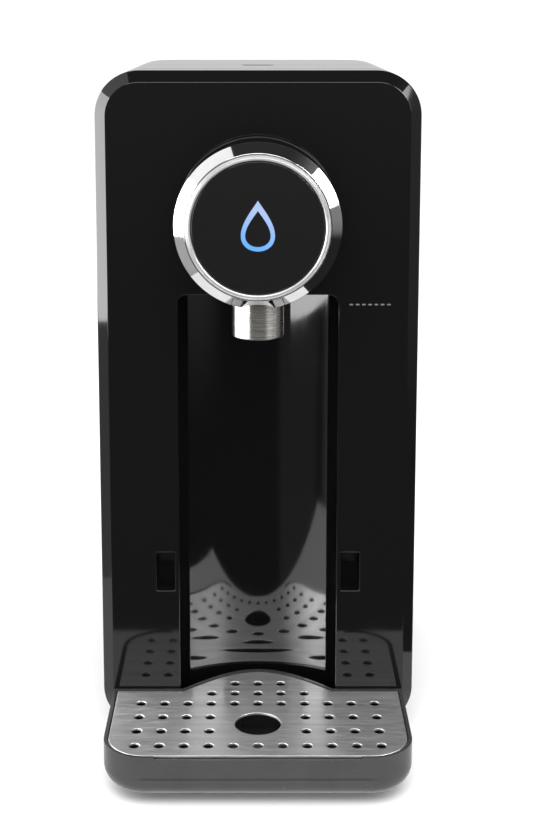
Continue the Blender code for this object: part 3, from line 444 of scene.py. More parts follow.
def brushed(name, colour, roughness, stretch, depth=0.000012, scale=5200, streak=0.10, grain=0.0,
            metallic=1.0):
    """Metal with hairlines: stretch is small along the lines. Broad faint streaks lie over them."""
    shade = Shade(name, colour, roughness, metallic, Anisotropic=grain)
    if grain:
        tangent = shade.add("ShaderNodeTangent")
        tangent.direction_type = "RADIAL"
        tangent.axis = "Z"
        shade.set("Tangent", tangent.outputs["Tangent"])
        shade.set("Anisotropic Rotation", 0.25)
    lines = shade.noise(scale, 3, stretch, 0.65)
    broad = shade.noise(scale / 22, 3, stretch, 0.6)
    bright = tuple(min(1.0, c * (1 + streak)) for c in colour)
    dark = tuple(c * (1 - streak) for c in colour)
    shade.set("Base Color", shade.blend(shade.spread(broad, 0, 1, 0.35, 0.65), dark, bright))
    shade.set("Roughness", shade.spread(lines, roughness * 0.75, roughness * 1.3))
    shade.bump(lines, depth)
    return shade.material


def polished():
    """Chrome plating: mirror finish over a slightly uneven moulding, with fine wipe marks."""
    shade = Shade("chrome", (0.83, 0.83, 0.84), 0.04, 1.0)
    wipe = shade.spread(shade.noise(700, 3, (1, 1, 0.05)), 0.0, 0.05, 0.55, 0.75)
    haze = shade.spread(shade.noise(70, 3), 0.035, 0.075)
    shade.set("Roughness", shade.sum(wipe, haze))
    tone = shade.cloud(120, 2)
    shade.set("Base Color", shade.blend(tone, (0.80, 0.80, 0.81), (0.86, 0.86, 0.87)))
    shade.bump(shade.noise(120, 2), 0.000004)
    return shade.material


def rubber():
    shade = Shade("rubber", (0.016, 0.016, 0.016), 0.75)
    bloom = shade.cloud(180, 4)
    shade.set("Base Color", shade.blend(bloom, (0.012, 0.012, 0.012), (0.028, 0.028, 0.027)))
    shade.set("Roughness", shade.spread(shade.noise(400, 3), 0.62, 0.88))
    shade.bump(shade.noise(3000, 2), 0.00003)
    return shade.material


def smoked():
    """Clear smoke-grey plastic of the tank, with a faint moulding haze."""
    shade = Shade("smoked_plastic", (0.30, 0.31, 0.32), 0.05, IOR=1.50)
    shade.set("Transmission Weight", 0.90)
    shade.set("Roughness", shade.spread(shade.noise(40, 3), 0.03, 0.09))
    tint = shade.cloud(25, 2)
    shade.set("Base Color", shade.blend(tint, (0.27, 0.28, 0.29), (0.33, 0.34, 0.35)))
    shade.bump(shade.noise(50, 2), 0.00001)
    return shade.material


def silicone():
    shade = Shade("silicone", (0.74, 0.74, 0.70), 0.40)
    shade.set("Transmission Weight", 0.35)
    cloud = shade.cloud(120, 3)
    shade.set("Base Color", shade.blend(cloud, (0.66, 0.66, 0.61), (0.80, 0.80, 0.77)))
    shade.set("Roughness", shade.spread(shade.noise(300, 3), 0.32, 0.5))
    shade.bump(shade.noise(900, 2), 0.00002)
    return shade.material


def board():
    """Green solder mask with copper tracks showing through it as a faint relief."""
    shade = Shade("solder_mask", (0.015, 0.13, 0.05), 0.30)
    track = shade.add("ShaderNodeTexBrick")
    track.inputs["Scale"].default_value = 160
    track.inputs["Mortar Size"].default_value = 0.06
    shade.tree.links.new(shade.place, track.inputs["Vector"])
    shade.set("Base Color", shade.blend(track.outputs["Fac"], (0.012, 0.10, 0.04),
                                        (0.03, 0.22, 0.09)))
    shade.set("Roughness", shade.spread(shade.noise(400, 3), 0.25, 0.4))
    shade.bump(track.outputs["Fac"], 0.00003)
    return shade.material


def cast():
    shade = Shade("cast_aluminium", (0.68, 0.68, 0.69), 0.42, 1.0)
    grit = shade.noise(1500, 5, rough=0.7)
    shade.set("Base Color", shade.blend(shade.cloud(90, 4),
                                        (0.56, 0.56, 0.57), (0.76, 0.76, 0.77)))
    shade.set("Roughness", shade.spread(grit, 0.32, 0.58))
    shade.bump(grit, 0.00006)
    return shade.material


DROP_BLUE, DROP_WHITE = (0.045, 0.36, 0.95), (0.50, 0.56, 0.86)


def glow():
    """Lit light guide: deep blue at the bottom of the drop, pale at its tip."""
    shade = Shade("drop_glow", (0.06, 0.12, 0.20), 0.30)
    split = shade.add("ShaderNodeSeparateXYZ")
    shade.tree.links.new(shade.place, split.inputs["Vector"])
    low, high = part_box("drop_light")[0].z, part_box("drop_light")[1].z
    rise = shade.spread(split.outputs["Z"], 0.0, 1.0, low + 0.001, high - 0.004)
    side = shade.spread(split.outputs["X"], -0.12, 0.20, -0.008, 0.008)
    shade.set("Emission Color", shade.blend(shade.sum(rise, side), DROP_BLUE, DROP_WHITE))
    shade.set("Emission Strength", 0.70)
    shade.set("Roughness", shade.spread(shade.noise(500, 2), 0.24, 0.36))
    shade.bump(shade.noise(1500, 2), 0.00001)
    return shade.material


MAKERS = {
    "body_gloss": lambda: gloss("body_gloss", 0.0050, 1.50),
    "niche_gloss": lambda: gloss("niche_gloss", 0.0030, 1.80),
    "disc_gloss": lambda: gloss("disc_gloss", 0.0080, 1.60, 0.000003),
    "satin": lambda: moulded("satin_black", (0.018, 0.018, 0.019), 0.38),
    "tray_plastic": lambda: moulded("tray_grey", (0.040, 0.040, 0.041), 0.24, 0.000010, 1200, 0.10),
    "rubber": rubber,
    "chrome": polished,
    "dial_satin": lambda: brushed("dial_satin", (0.52, 0.52, 0.52), 0.34, (0.3, 1.0, 0.3), 0.000004,
                                  metallic=0.55),
    "nozzle_steel": lambda: brushed("nozzle_steel", (0.82, 0.79, 0.75), 0.26, (0.01, 0.01, 1.0),
                                    0.000004, streak=0.03, grain=0.85),
    "grid_steel": lambda: brushed("grid_steel", (0.66, 0.66, 0.66), 0.46, (0.02, 1.0, 1.0)),
    "screw": lambda: brushed("zinc_screw", (0.60, 0.60, 0.58), 0.34, (1.0, 0.2, 1.0), 0.00002),
    "spring": lambda: brushed("spring_wire", (0.62, 0.61, 0.60), 0.28, (1.0, 1.0, 1.0)),
    "motor": lambda: brushed("motor_can", (0.60, 0.60, 0.59), 0.30, (0.05, 0.05, 1.0)),
    "bracket": lambda: brushed("folded_sheet", (0.64, 0.64, 0.63), 0.36, (0.2, 0.2, 1.0)),
    "heater": cast,
    "thermostat": lambda: moulded("ceramic", (0.74, 0.71, 0.64), 0.55, 0.00005, 1500, 0.08),
    "white": lambda: moulded("acetal", (0.78, 0.78, 0.75), 0.42, 0.00002, 1800, 0.05),
    "board": board,
    "component": lambda: moulded("component", (0.022, 0.022, 0.023), 0.45, 0.00004, 2500),
    "hose": silicone,
    "tank_smoke": smoked,
    "drop_glow": glow,
}
_made = {}


def material_of(slot):
    if slot not in _made:
        _made[slot] = MAKERS[slot]()
    return _made[slot]


# ---- cabinet ------------------------------------------------------------------------------

NICHE_ROUND = 0.0007        # rounding along the opening's edge
SLOT_ROUND = 0.0005
POCKET_DEPTH = 0.0098
POCKET_WALL = 0.0008


def niche_outline(grow):
    return rounded(NICHE_HALF + grow, NICHE_BOTTOM - grow, NICHE_TOP + grow,
                   (0.001 + grow, NICHE_CORNER + grow), 12)


def slot_outline(x, low, high, grow):
    return [(x + u, v) for u, v in rounded(SLOT_W / 2 + grow, low - grow, high + grow,
                                           (0.0006 + grow, 0.0006 + grow), 4)]


def round_over(radius, steps=5):
    """(grow, depth) pairs of an edge that rolls from the face into an opening."""
    pairs = []
    for i in range(steps + 1):
        angle = math.pi / 2 * i / steps
        pairs.append((radius * (1 - math.sin(angle)), radius * (1 - math.cos(angle))))
    return pairs


def make_front_panel():
    """Front moulding: flat face with its openings, slanted rim with soft edges, and skirt."""
    profile = softened([
        (RIM_INSET + 0.0020, 0.0, 0), (RIM_INSET, 0.0, 0.0007), (0.0, RIM_DEPTH, 0.0018),
        (0.0, PANEL_DEPTH, 0.0004), (WALL, PANEL_DEPTH, 0), (WALL, RIM_DEPTH + 0.0032, 0),
        (RIM_INSET + 0.0008, PANEL_SKIN, 0),
    ])
    bm = bmesh.new()
    rows = strip(bm, [[(x, y, z) for x, z in cabinet_outline(inset)] for inset, y in profile])
    front, back = [rows[0]], [rows[-1]]

    def through(outline, edge):
        rings = [[(x, depth, z) for x, z in outline(grow)] for grow, depth in round_over(edge)]
        rings.append([(x, PANEL_SKIN, z) for x, z in outline(0.0)])
        made = strip(bm, rings)
        front.append(made[0])
        back.append(made[-1])

    def pocket(outline):
        rings = [[(x, depth, z) for x, z in outline(grow)]
                 for grow, depth in round_over(SLOT_ROUND)]
        rings.append([(x, POCKET_DEPTH, z) for x, z in outline(0.0)])
        inner = strip(bm, rings)
        bm.faces.new(inner[-1])
        front.append(inner[0])
        outer = strip(bm, [[(x, depth, z) for x, z in outline(POCKET_WALL)]
                           for depth in (PANEL_SKIN, POCKET_DEPTH + POCKET_WALL)])
        bm.faces.new(outer[-1])
        back.append(outer[0])

    through(niche_outline, NICHE_ROUND)
    through(lambda grow: [(x, z) for x, y, z in circle(HEAD_HOLE_R + grow, 0, "Y", HEAD, ROUND)],
            SLOT_ROUND)
    for side in (-1, 1):
        for low, high in ((SLOT_LOW, SLOT_HIGH), (LOWER_SLOT_LOW, LOWER_SLOT_HIGH)):
            pocket(lambda grow, x=side * SLOT_X, a=low, b=high: slot_outline(x, a, b, grow))
    fill(bm, *front)
    fill(bm, *back)
    fine("front_panel", bm)


def make_slot_ramps():
    """The sloping roof and the catch inside each visible hook slot."""
    half = SLOT_W / 2 - 0.0004
    for name, x in (("left", -SLOT_X), ("right", SLOT_X)):
        top = SLOT_HIGH - 0.0004
        ramp = loft([[(u, 0.0012, top), (u, 0.0090, top), (u, 0.0090, top - 0.0075)]
                     for u in (x - half, x + half)])
        extra(f"slot_ramp_{name}", ramp, material_of("body_gloss"), "cabinet",
              edge=0.0003)


def make_body_shell():
    """The wrap behind the front moulding: full height to the tank bay, low under the tank."""
    outer, inner = cabinet_outline(0.0), cabinet_outline(WALL)
    front = PANEL_DEPTH + GAP
    rings = []
    for outline, y in ((outer, front), (outer, BODY_DEPTH), (inner, BODY_DEPTH), (inner, front)):
        rings.append([(x, y, z) for x, z in outline])
    dish_half, dish_depth = 0.0085, 0.0016
    dish = rounded(dish_half, BAY_FRONT - dish_half, BAY_FRONT + OVER, (0.0040, 0.0), 10)
    hatch = rounded(0.054, 0.045, 0.165, (0.006, 0.006), 8)
    fine("body_shell", loft(rings, wrap=True), cuts=(
        box((-HALF - OVER, BAY_FRONT, BASE_TOP), (HALF + OVER, BODY_DEPTH + OVER, HEIGHT + OVER)),
        plan_prism(dish, HEIGHT - dish_depth, HEIGHT + OVER),
        plan_prism(hatch, -OVER, BODY_BOTTOM + WALL + 0.001),
    ), edge=0.00035, sharp=40)


def make_base_plate():
    """Service plate in the underside: a flange inside, a boss in the opening, and ribs."""
    low = BODY_BOTTOM + WALL + GAP
    flange = rounded(0.058, 0.041, 0.169, (0.008, 0.008), 8)
    boss = rounded(0.0535, 0.0455, 0.1645, (0.006, 0.006), 8)
    ribs = [box((-0.044, y, BODY_BOTTOM - 0.0002), (0.044, y + 0.0016, BODY_BOTTOM + 0.001))
            for y in (0.060, 0.080, 0.100, 0.120, 0.140)]
    fine("base_plate", plan_prism(flange, low, low + 0.0022), edge=0.0003,
         joins=[plan_prism(boss, BODY_BOTTOM + 0.0004, low + 0.001), *ribs])


COVER_FRONT, COVER_BACK = BODY_DEPTH - 0.0048, BODY_DEPTH - 0.0022
COVER_SCREWS = ((-0.070, 0.046), (0.070, 0.046), (-0.052, 0.0125), (0.052, 0.0125))
GLAND = (-0.042, 0.030)


def make_rear_cover():
    """Low panel behind the machine room, with vents, a cord opening and screw holes."""
    edge = WALL + GAP
    outline = rounded(HALF - edge, BODY_BOTTOM + edge, BASE_TOP - 0.0045, (CORNER - edge, 0.0006),
                      16)
    low, high = COVER_FRONT - OVER, COVER_BACK + OVER
    cuts = []
    for i in range(7):
        x = 0.002 + 0.0072 * i
        cuts.append(front_prism([(x + u, v) for u, v in rounded(0.0015, 0.018, 0.042,
                                                                (0.0014, 0.0014), 6)], low, high))
    cuts.append(rod(0.0062, low, high, "Y", GLAND, 40))
    cuts += [rod(0.0018, low, high, "Y", spot, 24) for spot in COVER_SCREWS]
    fine("rear_cover", front_prism(outline, COVER_FRONT, COVER_BACK), cuts=cuts, edge=0.00035)


def make_cover_screws():
    """Pan-head screws with a cross recess."""
    seat = COVER_BACK + GAP
    profile = softened([(0.0015, seat - 0.0085, 0), (0.0015, seat, 0.0001), (0.0030, seat, 0.0002),
                        (0.0030, seat + 0.0007, 0.0006), (0.0012, seat + 0.0014, 0.001),
                        (0.0001, seat + 0.0014, 0)])
    for number, (x, z) in enumerate(COVER_SCREWS, 1):
        cross = [box((x - a, seat + 0.0006, z - b), (x + a, seat + OVER, z + b))
                 for a, b in ((0.0015, 0.00032), (0.00032, 0.0015))]
        fine(f"cover_screw_{number}", turned(profile, "Y", (x, z), 32), cuts=cross)


def make_cord_gland():
    """Strain relief bush with three grip rings round its nose."""
    body, flange, bore = 0.0058, 0.0080, 0.0037
    inside = COVER_FRONT - GAP
    corners = [(bore, inside - 0.004, 0.0003), (flange, inside - 0.004, 0.0004),
               (flange, inside, 0.0003), (body, inside, 0.0001)]
    for i in range(3):
        y = COVER_BACK + 0.0002 + 0.0006 * i
        corners += [(body, y, 0.0001), (body - 0.0004, y + 0.0003, 0.0001)]
    corners += [(body - 0.0003, BODY_DEPTH - 0.0002, 0.0003),
                (bore, BODY_DEPTH - 0.0002, 0.0006)]
    fine("cord_gland", turned(softened(corners, True, 3), "Y", GLAND, 48, ring=True))


def make_body_feet():
    """Four rubber feet with a shallow dish below."""
    top = BODY_BOTTOM - GAP
    profile = softened([(0.0001, 0.0006, 0), (0.0040, 0.0006, 0.0002), (0.0046, 0.0, 0.0003),
                        (0.0072, 0.0, 0.0005), (0.0078, top, 0.0003), (0.0001, top, 0)])
    for side, x in (("left", -0.060), ("right", 0.060)):
        for end, y in (("front", 0.030), ("rear", 0.172)):
            fine(f"body_foot_{end}_{side}", turned(profile, "Z", (x, y), 48))


# ---- cup niche ----------------------------------------------------------------------------

def niche_plan(grow, count=96):
    """Plan of the niche: short side walls, then a parabola; (x, y) points from +X to -X."""
    start, knee = PANEL_SKIN + GAP, NICHE_KNEE_DEPTH
    points = [(NICHE_HALF + grow, start)]
    half, peak = NICHE_KNEE_HALF + grow, NICHE_DEPTH + grow
    for i in range(count + 1):
        x = half * (1 - 2 * i / count)
        points.append((x, peak - (peak - knee) * (x / half) ** 2))
    return [*points, (-NICHE_HALF - grow, start)]


def bell(half, start, peak, count=72):
    """Plan curve of the grid's hump, flared at its sides: (x, y) points from +X to -X."""
    points = []
    for i in range(count + 1):
        x = half * (1 - 2 * i / count)
        points.append((x, start + (peak - start) * math.cos(math.pi * x / (2 * half))))
    return points


def make_niche_liner():
    """Curved mirror-gloss wall behind the opening, with a ceiling and a floor."""
    inner, outer = niche_plan(0.0), niche_plan(NICHE_SKIN)
    bm = bmesh.new()

    def row(curve, z):
        return [bm.verts.new((x, y, z)) for x, y in curve]

    in_low, in_high = row(inner, NICHE_BOTTOM), row(inner, NICHE_TOP)
    out_low, out_high = row(outer, NICHE_BOTTOM - NICHE_SKIN), row(outer, NICHE_TOP + NICHE_SKIN)
    for low, high in ((in_low, in_high), (out_low, out_high)):
        for i in range(len(low) - 1):
            bm.faces.new((low[i], low[i + 1], high[i + 1], high[i]))
        bm.faces.new(low)
        bm.faces.new(high)
    for a, b, c, d in ((in_low[0], in_high[0], out_high[0], out_low[0]),
                       (in_low[-1], in_high[-1], out_high[-1], out_low[-1]),
                       (in_high[0], in_high[-1], out_high[-1], out_high[0]),
                       (in_low[0], in_low[-1], out_low[-1], out_low[0])):
        bm.faces.new((a, b, c, d))
    fine("niche_liner", bm)


# ---- tank bay -----------------------------------------------------------------------------

def make_tank_cradle():
    """Shelf under the tank and wall in front of it, in one L-shaped moulding with a socket."""
    edge = WALL + GAP
    low = BASE_TOP - 0.004
    front = BAY_FRONT - 0.0028
    wall = rounded(HALF - edge, low, HEIGHT - edge, (0.0006, CORNER - edge), 16)
    shelf = box((-HALF + edge, front + 0.0005, low),
                (HALF - edge, BODY_DEPTH - 0.0006, BASE_TOP - 0.0006))
    fine("tank_cradle", front_prism(wall, front, BAY_FRONT - 0.0004),
         joins=(shelf, rod(0.0145, BASE_TOP - 0.0155, BASE_TOP - 0.002, "Z", VALVE, 64)),
         cuts=(rod(0.0125, BASE_TOP - 0.0120, BASE_TOP + OVER, "Z", VALVE, 64),
               rod(0.0053, BASE_TOP - 0.0200, BASE_TOP - 0.0100, "Z", VALVE, 48)),
         edge=0.0003)


def make_cradle_pin():
    """Hollow post in the cradle's socket, which lifts the tank's valve."""
    low = BASE_TOP - 0.0240
    profile = softened([(0.0042, low, 0.0003), (0.0042, low + 0.0060, 0.0001),
                        (0.0050, low + 0.0060, 0.0003), (0.0050, BASE_TOP - 0.0110, 0.0003),
                        (0.0028, BASE_TOP - 0.0105, 0.0004), (0.0028, BASE_TOP - 0.0062, 0.0005),
                        (0.0014, BASE_TOP - 0.0062, 0.0002), (0.0014, low, 0.0002)], True, 4)
    fine("cradle_pin", turned(profile, "Z", VALVE, 40, ring=True))


# ---- control head -------------------------------------------------------------------------

def make_head_collar():
    """Black ring that joins the head to the panel, with a lip over the panel's face."""
    profile = softened([(COLLAR_R, -0.0097, 0.0003), (COLLAR_R, -0.0012, 0.0004),
                        (COLLAR_R + 0.0008, -GAP, 0.0002), (HEAD_HOLE_R, -GAP, 0),
                        (HEAD_HOLE_R, -0.0097, 0)], True)
    fine("head_collar", turned(profile, "Y", HEAD, FINE, ring=True))


def make_head_band():
    """Fixed chrome band: upright behind, then a cone in towards the dial."""
    inner, lip, slant_rear, front = 0.0388, DIAL_R + GAP, -0.0342, -0.0393
    profile = softened([
        (BAND_R - 0.0003, -0.0100, 0.0002), (BAND_R, -0.0103, 0.0003),
        (BAND_R, slant_rear, 0.0008), (lip + 0.0003, front, 0.0004), (lip, front, 0.0001),
        (lip, front + 0.0014, 0.0001), (inner - 0.0006, slant_rear - 0.0006, 0.0002),
        (inner, slant_rear + 0.0015, 0.0002), (inner, -0.0100, 0.0001)], True, 6)
    fine("head_band", turned(profile, "Y", HEAD, 192, ring=True),
         cuts=(rod(NOZZLE_R + GAP, NOZZLE_BOTTOM, HEAD_Z - 0.030, "Z", SPOUT, 96),), sharp=40)


def make_dial_ring():
    """Turning lip round the disc: an inner bead, a fine groove and a flat outer land."""
    inner, bore, groove = DISC_R + 0.0004, DIAL_R - 0.0012, DIAL_R - 0.0009
    profile = softened([
        (inner, HEAD_FRONT + 0.0012, 0.0002), (inner, HEAD_FRONT + 0.0004, 0.0004),
        (inner + 0.0007, HEAD_FRONT, 0.0006), (groove - 0.0003, HEAD_FRONT + 0.0002, 0.0002),
        (groove, HEAD_FRONT + 0.0006, 0.0001), (groove + 0.0003, HEAD_FRONT + 0.0003, 0.0002),
        (DIAL_R, HEAD_FRONT + 0.0012, 0.0004), (DIAL_R, DIAL_REAR, 0.0002),
        (bore, DIAL_REAR, 0.0001), (bore, HEAD_FRONT + 0.0014, 0.0001),
        (inner, HEAD_FRONT + 0.0014, 0.0001)], True, 4)
    mark = box((-0.0004, HEAD_FRONT - OVER, HEAD_Z - DIAL_R - OVER),
               (0.0004, HEAD_FRONT + 0.0006, HEAD_Z - groove))
    fine("dial_ring", turned(profile, "Y", HEAD, 192, ring=True), cuts=(mark,),
         finish="dial_satin")


DROP_HALF, DROP_LOW, DROP_TIP, DROP_STROKE = 0.0082, -0.0112, 0.0133, 0.0021


def drop_outline(half, low, tip, count=96):
    """A water drop in front view: a round bottom drawn up to a pointed top."""
    power = 1.25
    widest = 1 / (2 + power)
    peak = math.sqrt(1 - (2 * widest - 1) ** 2) * (1 - widest) ** (power / 2)
    points = []
    for i in range(count):
        t = 2 * math.pi * i / count
        x = half / peak * math.sin(t) * math.sin(t / 2) ** power
        points.append((x, low + (tip - low) * (1 + math.cos(t)) / 2))
    return points


def drop_ring(grow, y):
    """The outer and the inner outline of the drop's stroke, at depth y."""
    sharp = 2.3
    inside = DROP_STROKE + grow
    outer = drop_outline(DROP_HALF + grow, DROP_LOW - grow, DROP_TIP + grow * sharp)
    inner = drop_outline(DROP_HALF - inside, DROP_LOW + inside, DROP_TIP - inside * sharp)
    return [[(x, y, HEAD_Z + z) for x, z in outline] for outline in (outer, inner)]


def make_touch_disc():
    """Gloss black button face with a groove for the light guide."""
    back, guide, skirt, skin = -0.0383, 0.0286, -0.0328, 0.0016
    profile = softened([
        (0.0001, DISC_FRONT, 0), (DISC_R - 0.0004, DISC_FRONT, 0.0004),
        (DISC_R, DISC_FRONT + 0.0006, 0.0003), (DISC_R, back, 0.0002), (guide, back, 0),
        (guide, skirt, 0.0002), (guide - skin, skirt, 0.0002), (guide - skin, back, 0),
        (0.0022, back, 0), (0.0022, -0.0363, 0.0002), (0.0001, -0.0363, 0)])
    front, floor = DISC_FRONT - 0.002, DISC_FRONT + 0.0012
    (outer, inner), (outer_in, inner_in) = drop_ring(0.00012, front), drop_ring(0.00012, floor)
    fine("touch_disc", turned(profile, "Y", HEAD, FINE),
         cuts=(loft([outer, outer_in, inner_in, inner], wrap=True),))


def make_drop_light():
    """The lit light guide, its front edges slightly rounded."""
    rings_out, rings_in = [], []
    for grow, y in ((-0.00018, DISC_FRONT - 0.0001), (-0.00005, DISC_FRONT - 0.00005),
                    (0.0, DISC_FRONT + 0.0001), (0.0, DISC_FRONT + 0.0010)):
        outer, inner = drop_ring(grow, y)
        rings_out.append(outer)
        rings_in.insert(0, inner)
    fine("drop_light", loft(rings_out + rings_in, wrap=True))


def make_nozzle():
    """Turned sleeve with a rolled lower edge."""
    bore = NOZZLE_R - NOZZLE_SKIN
    low, top = NOZZLE_BOTTOM, NOZZLE_TOP
    profile = softened([
        (NOZZLE_R, low, 0.0006), (NOZZLE_R, top, 0.0004), (0.0043, top, 0),
        (0.0043, top - NOZZLE_SKIN, 0), (bore, top - NOZZLE_SKIN, 0.0004), (bore, low, 0.0005)],
        True, 6)
    fine("nozzle", turned(profile, "Z", SPOUT, 128, ring=True))


def make_nozzle_insert():
    """Jet insert inside the sleeve, with small air holes round its bore."""
    low, high = span("nozzle_insert")
    outer = high.x
    profile = softened([(0.0024, low.z + 0.0010, 0.0003), (0.0050, low.z, 0.0006),
                        (outer, low.z + 0.0008, 0.0002), (outer, high.z, 0.0001),
                        (0.0024, high.z, 0.0001)], True, 4)
    ports = [rod(0.0007, low.z - OVER, low.z + 0.003, "Z",
                 (0.0078 * math.cos(a), NOZZLE_Y + 0.0078 * math.sin(a)), 16)
             for a in [2 * math.pi * i / 8 for i in range(8)]]
    fine("nozzle_insert", turned(profile, "Z", SPOUT, 64, ring=True), cuts=ports)


def make_coil(node, axis, centre, start, end, radius, wire, turns):
    """A compression spring: close end turns and an open middle."""
    steps, sides = 36, 10
    total = turns * steps
    rings = []
    for i in range(total + 1):
        share = i / total
        angle = 2 * math.pi * i / steps
        eased = share - math.sin(4 * math.pi * share) / (4 * math.pi) * 0.55
        along = start + wire + (end - start - 2 * wire) * eased
        ring = []
        for j in range(sides):
            turn = 2 * math.pi * j / sides
            r = radius + wire * math.cos(turn)
            u = centre[0] + r * math.cos(angle)
            v = centre[1] + r * math.sin(angle)
            w = along + wire * math.sin(turn)
            ring.append({"Y": (u, w, v), "Z": (u, v, w)}[axis])
        rings.append(ring)
    return fine(node, loft(rings))


def make_button_spring():
    """Coil between the disc and the light board, with a mesh of its own."""
    low, high = span("button_spring")
    stroke, wire, radius, turns = 0.0018, 0.0004, 0.0072, 3
    spring = make_coil("button_spring", "Y", HEAD, low.y, high.y, radius, wire, turns)
    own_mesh(spring)


# ---- water tank ---------------------------------------------------------------------------

def tank_plan(inset, half=HALF):
    return rounded(half - inset, TANK_FRONT + inset, BODY_DEPTH - inset,
                   (max(0.0040 - inset, 0.0015), 0.0140 - inset), 12)


def hinge_ear(x0, x1):
    radius, steps, foot = 0.0036, 24, PARTING_Z - 0.008
    outline = [(LID_AXIS_Y - radius, foot), (LID_AXIS_Y + radius, foot)]
    for i in range(steps + 1):
        angle = math.pi * i / steps
        outline.append((LID_AXIS_Y + radius * math.cos(angle),
                        LID_AXIS_Z + radius * math.sin(angle)))
    return loft([[(x, y, z) for y, z in outline] for x in (x0, x1)])


def make_water_tank():
    """Smoked tank with soft bottom edges, a spigot, two hinge ears and level marks."""
    low = BASE_TOP + GAP
    inset_levels = softened([
        (0.0060, low, 0), (0.0030, low, 0.0010), (0.0, low + 0.0030, 0.0022),
        (0.0, PARTING_Z, 0.0004), (TANK_WALL, PARTING_Z, 0.0005), (TANK_WALL, low + 0.0050, 0.0022),
        (TANK_WALL + 0.0025, low + 0.0030, 0.0010), (TANK_WALL + 0.0060, low + 0.0030, 0)],
        False, 5)
    rings = [[(x, y, z) for x, y in tank_plan(inset)] for inset, z in inset_levels]
    marks = []
    for number in range(5):
        z = low + 0.045 + 0.045 * number
        reach = 0.010 if number % 2 else 0.016
        marks.append(box((-HALF * 0.55, BODY_DEPTH - 0.0010, z),
                         (-HALF * 0.55 + reach, BODY_DEPTH + 0.0003, z + 0.0009)))
    fine("water_tank", loft(rings), joins=[
        rod(0.0110, BASE_TOP - 0.0052, low + 0.002, "Z", VALVE, 64),
        hinge_ear(-EAR_OUT, -EAR_IN), hinge_ear(EAR_IN, EAR_OUT), *marks,
    ], cuts=[
        rod(0.0075, BASE_TOP - 0.0040, low + OVER, "Z", VALVE, 48),
        rod(0.0036, BASE_TOP - OVER, BASE_TOP, "Z", VALVE, 40),
        rod(LID_PIN_R + GAP, -0.040, 0.040, "X", LID_AXIS, 32),
    ])


def make_tank_valve():
    """Valve with its spring and the sealing ring round the tank's spigot."""
    seat = BASE_TOP - 0.0040
    stem = softened([(0.0001, seat - 0.0018, 0), (0.0022, seat - 0.0018, 0.0004),
                     (0.0022, seat + 0.0022, 0.0001), (0.0062, seat + 0.0022, 0.0003),
                     (0.0062, seat + 0.0042, 0.0003), (0.0022, seat + 0.0042, 0.0001),
                     (0.0022, seat + 0.0100, 0.0005), (0.0001, seat + 0.0100, 0)])
    fine("tank_valve", turned(stem, "Z", VALVE, 40))
    make_coil("tank_valve_spring", "Z", VALVE, seat + 0.0045, seat + 0.0120, 0.0042, 0.00035, 5)
    seal = [(0.01175 + 0.00045 * math.cos(t), BASE_TOP - 0.0030 + 0.00045 * math.sin(t))
            for t in [2 * math.pi * i / 16 for i in range(16)]]
    fine("tank_seal", turned(seal, "Z", VALVE, 72, ring=True))


def make_tank_strainer():
    """Cup over the outlet with a row of slots in its wall."""
    base, top = BASE_TOP + 0.0037, BASE_TOP + 0.0150
    cup = softened([(0.0001, top - 0.0015, 0), (0.0085, top - 0.0015, 0.0006),
                    (0.0098, top - 0.0030, 0.0006), (0.0098, base, 0.0001), (0.0110, base, 0.0002),
                    (0.0110, top - 0.0030, 0.0010), (0.0090, top, 0.0010), (0.0001, top, 0)])
    slots = []
    for i in range(12):
        angle = 2 * math.pi * i / 12
        slot = box((0.0070, -0.0006, base + 0.0015), (0.0140, 0.0006, top - 0.0040))
        bmesh.ops.rotate(slot, verts=slot.verts, cent=(0, 0, 0),
                         matrix=Matrix.Rotation(angle, 3, "Z"))
        bmesh.ops.translate(slot, verts=slot.verts, vec=(VALVE[0], VALVE[1], 0))
        slots.append(slot)
    fine("tank_strainer", turned(cup, "Z", VALVE, 72), cuts=slots)


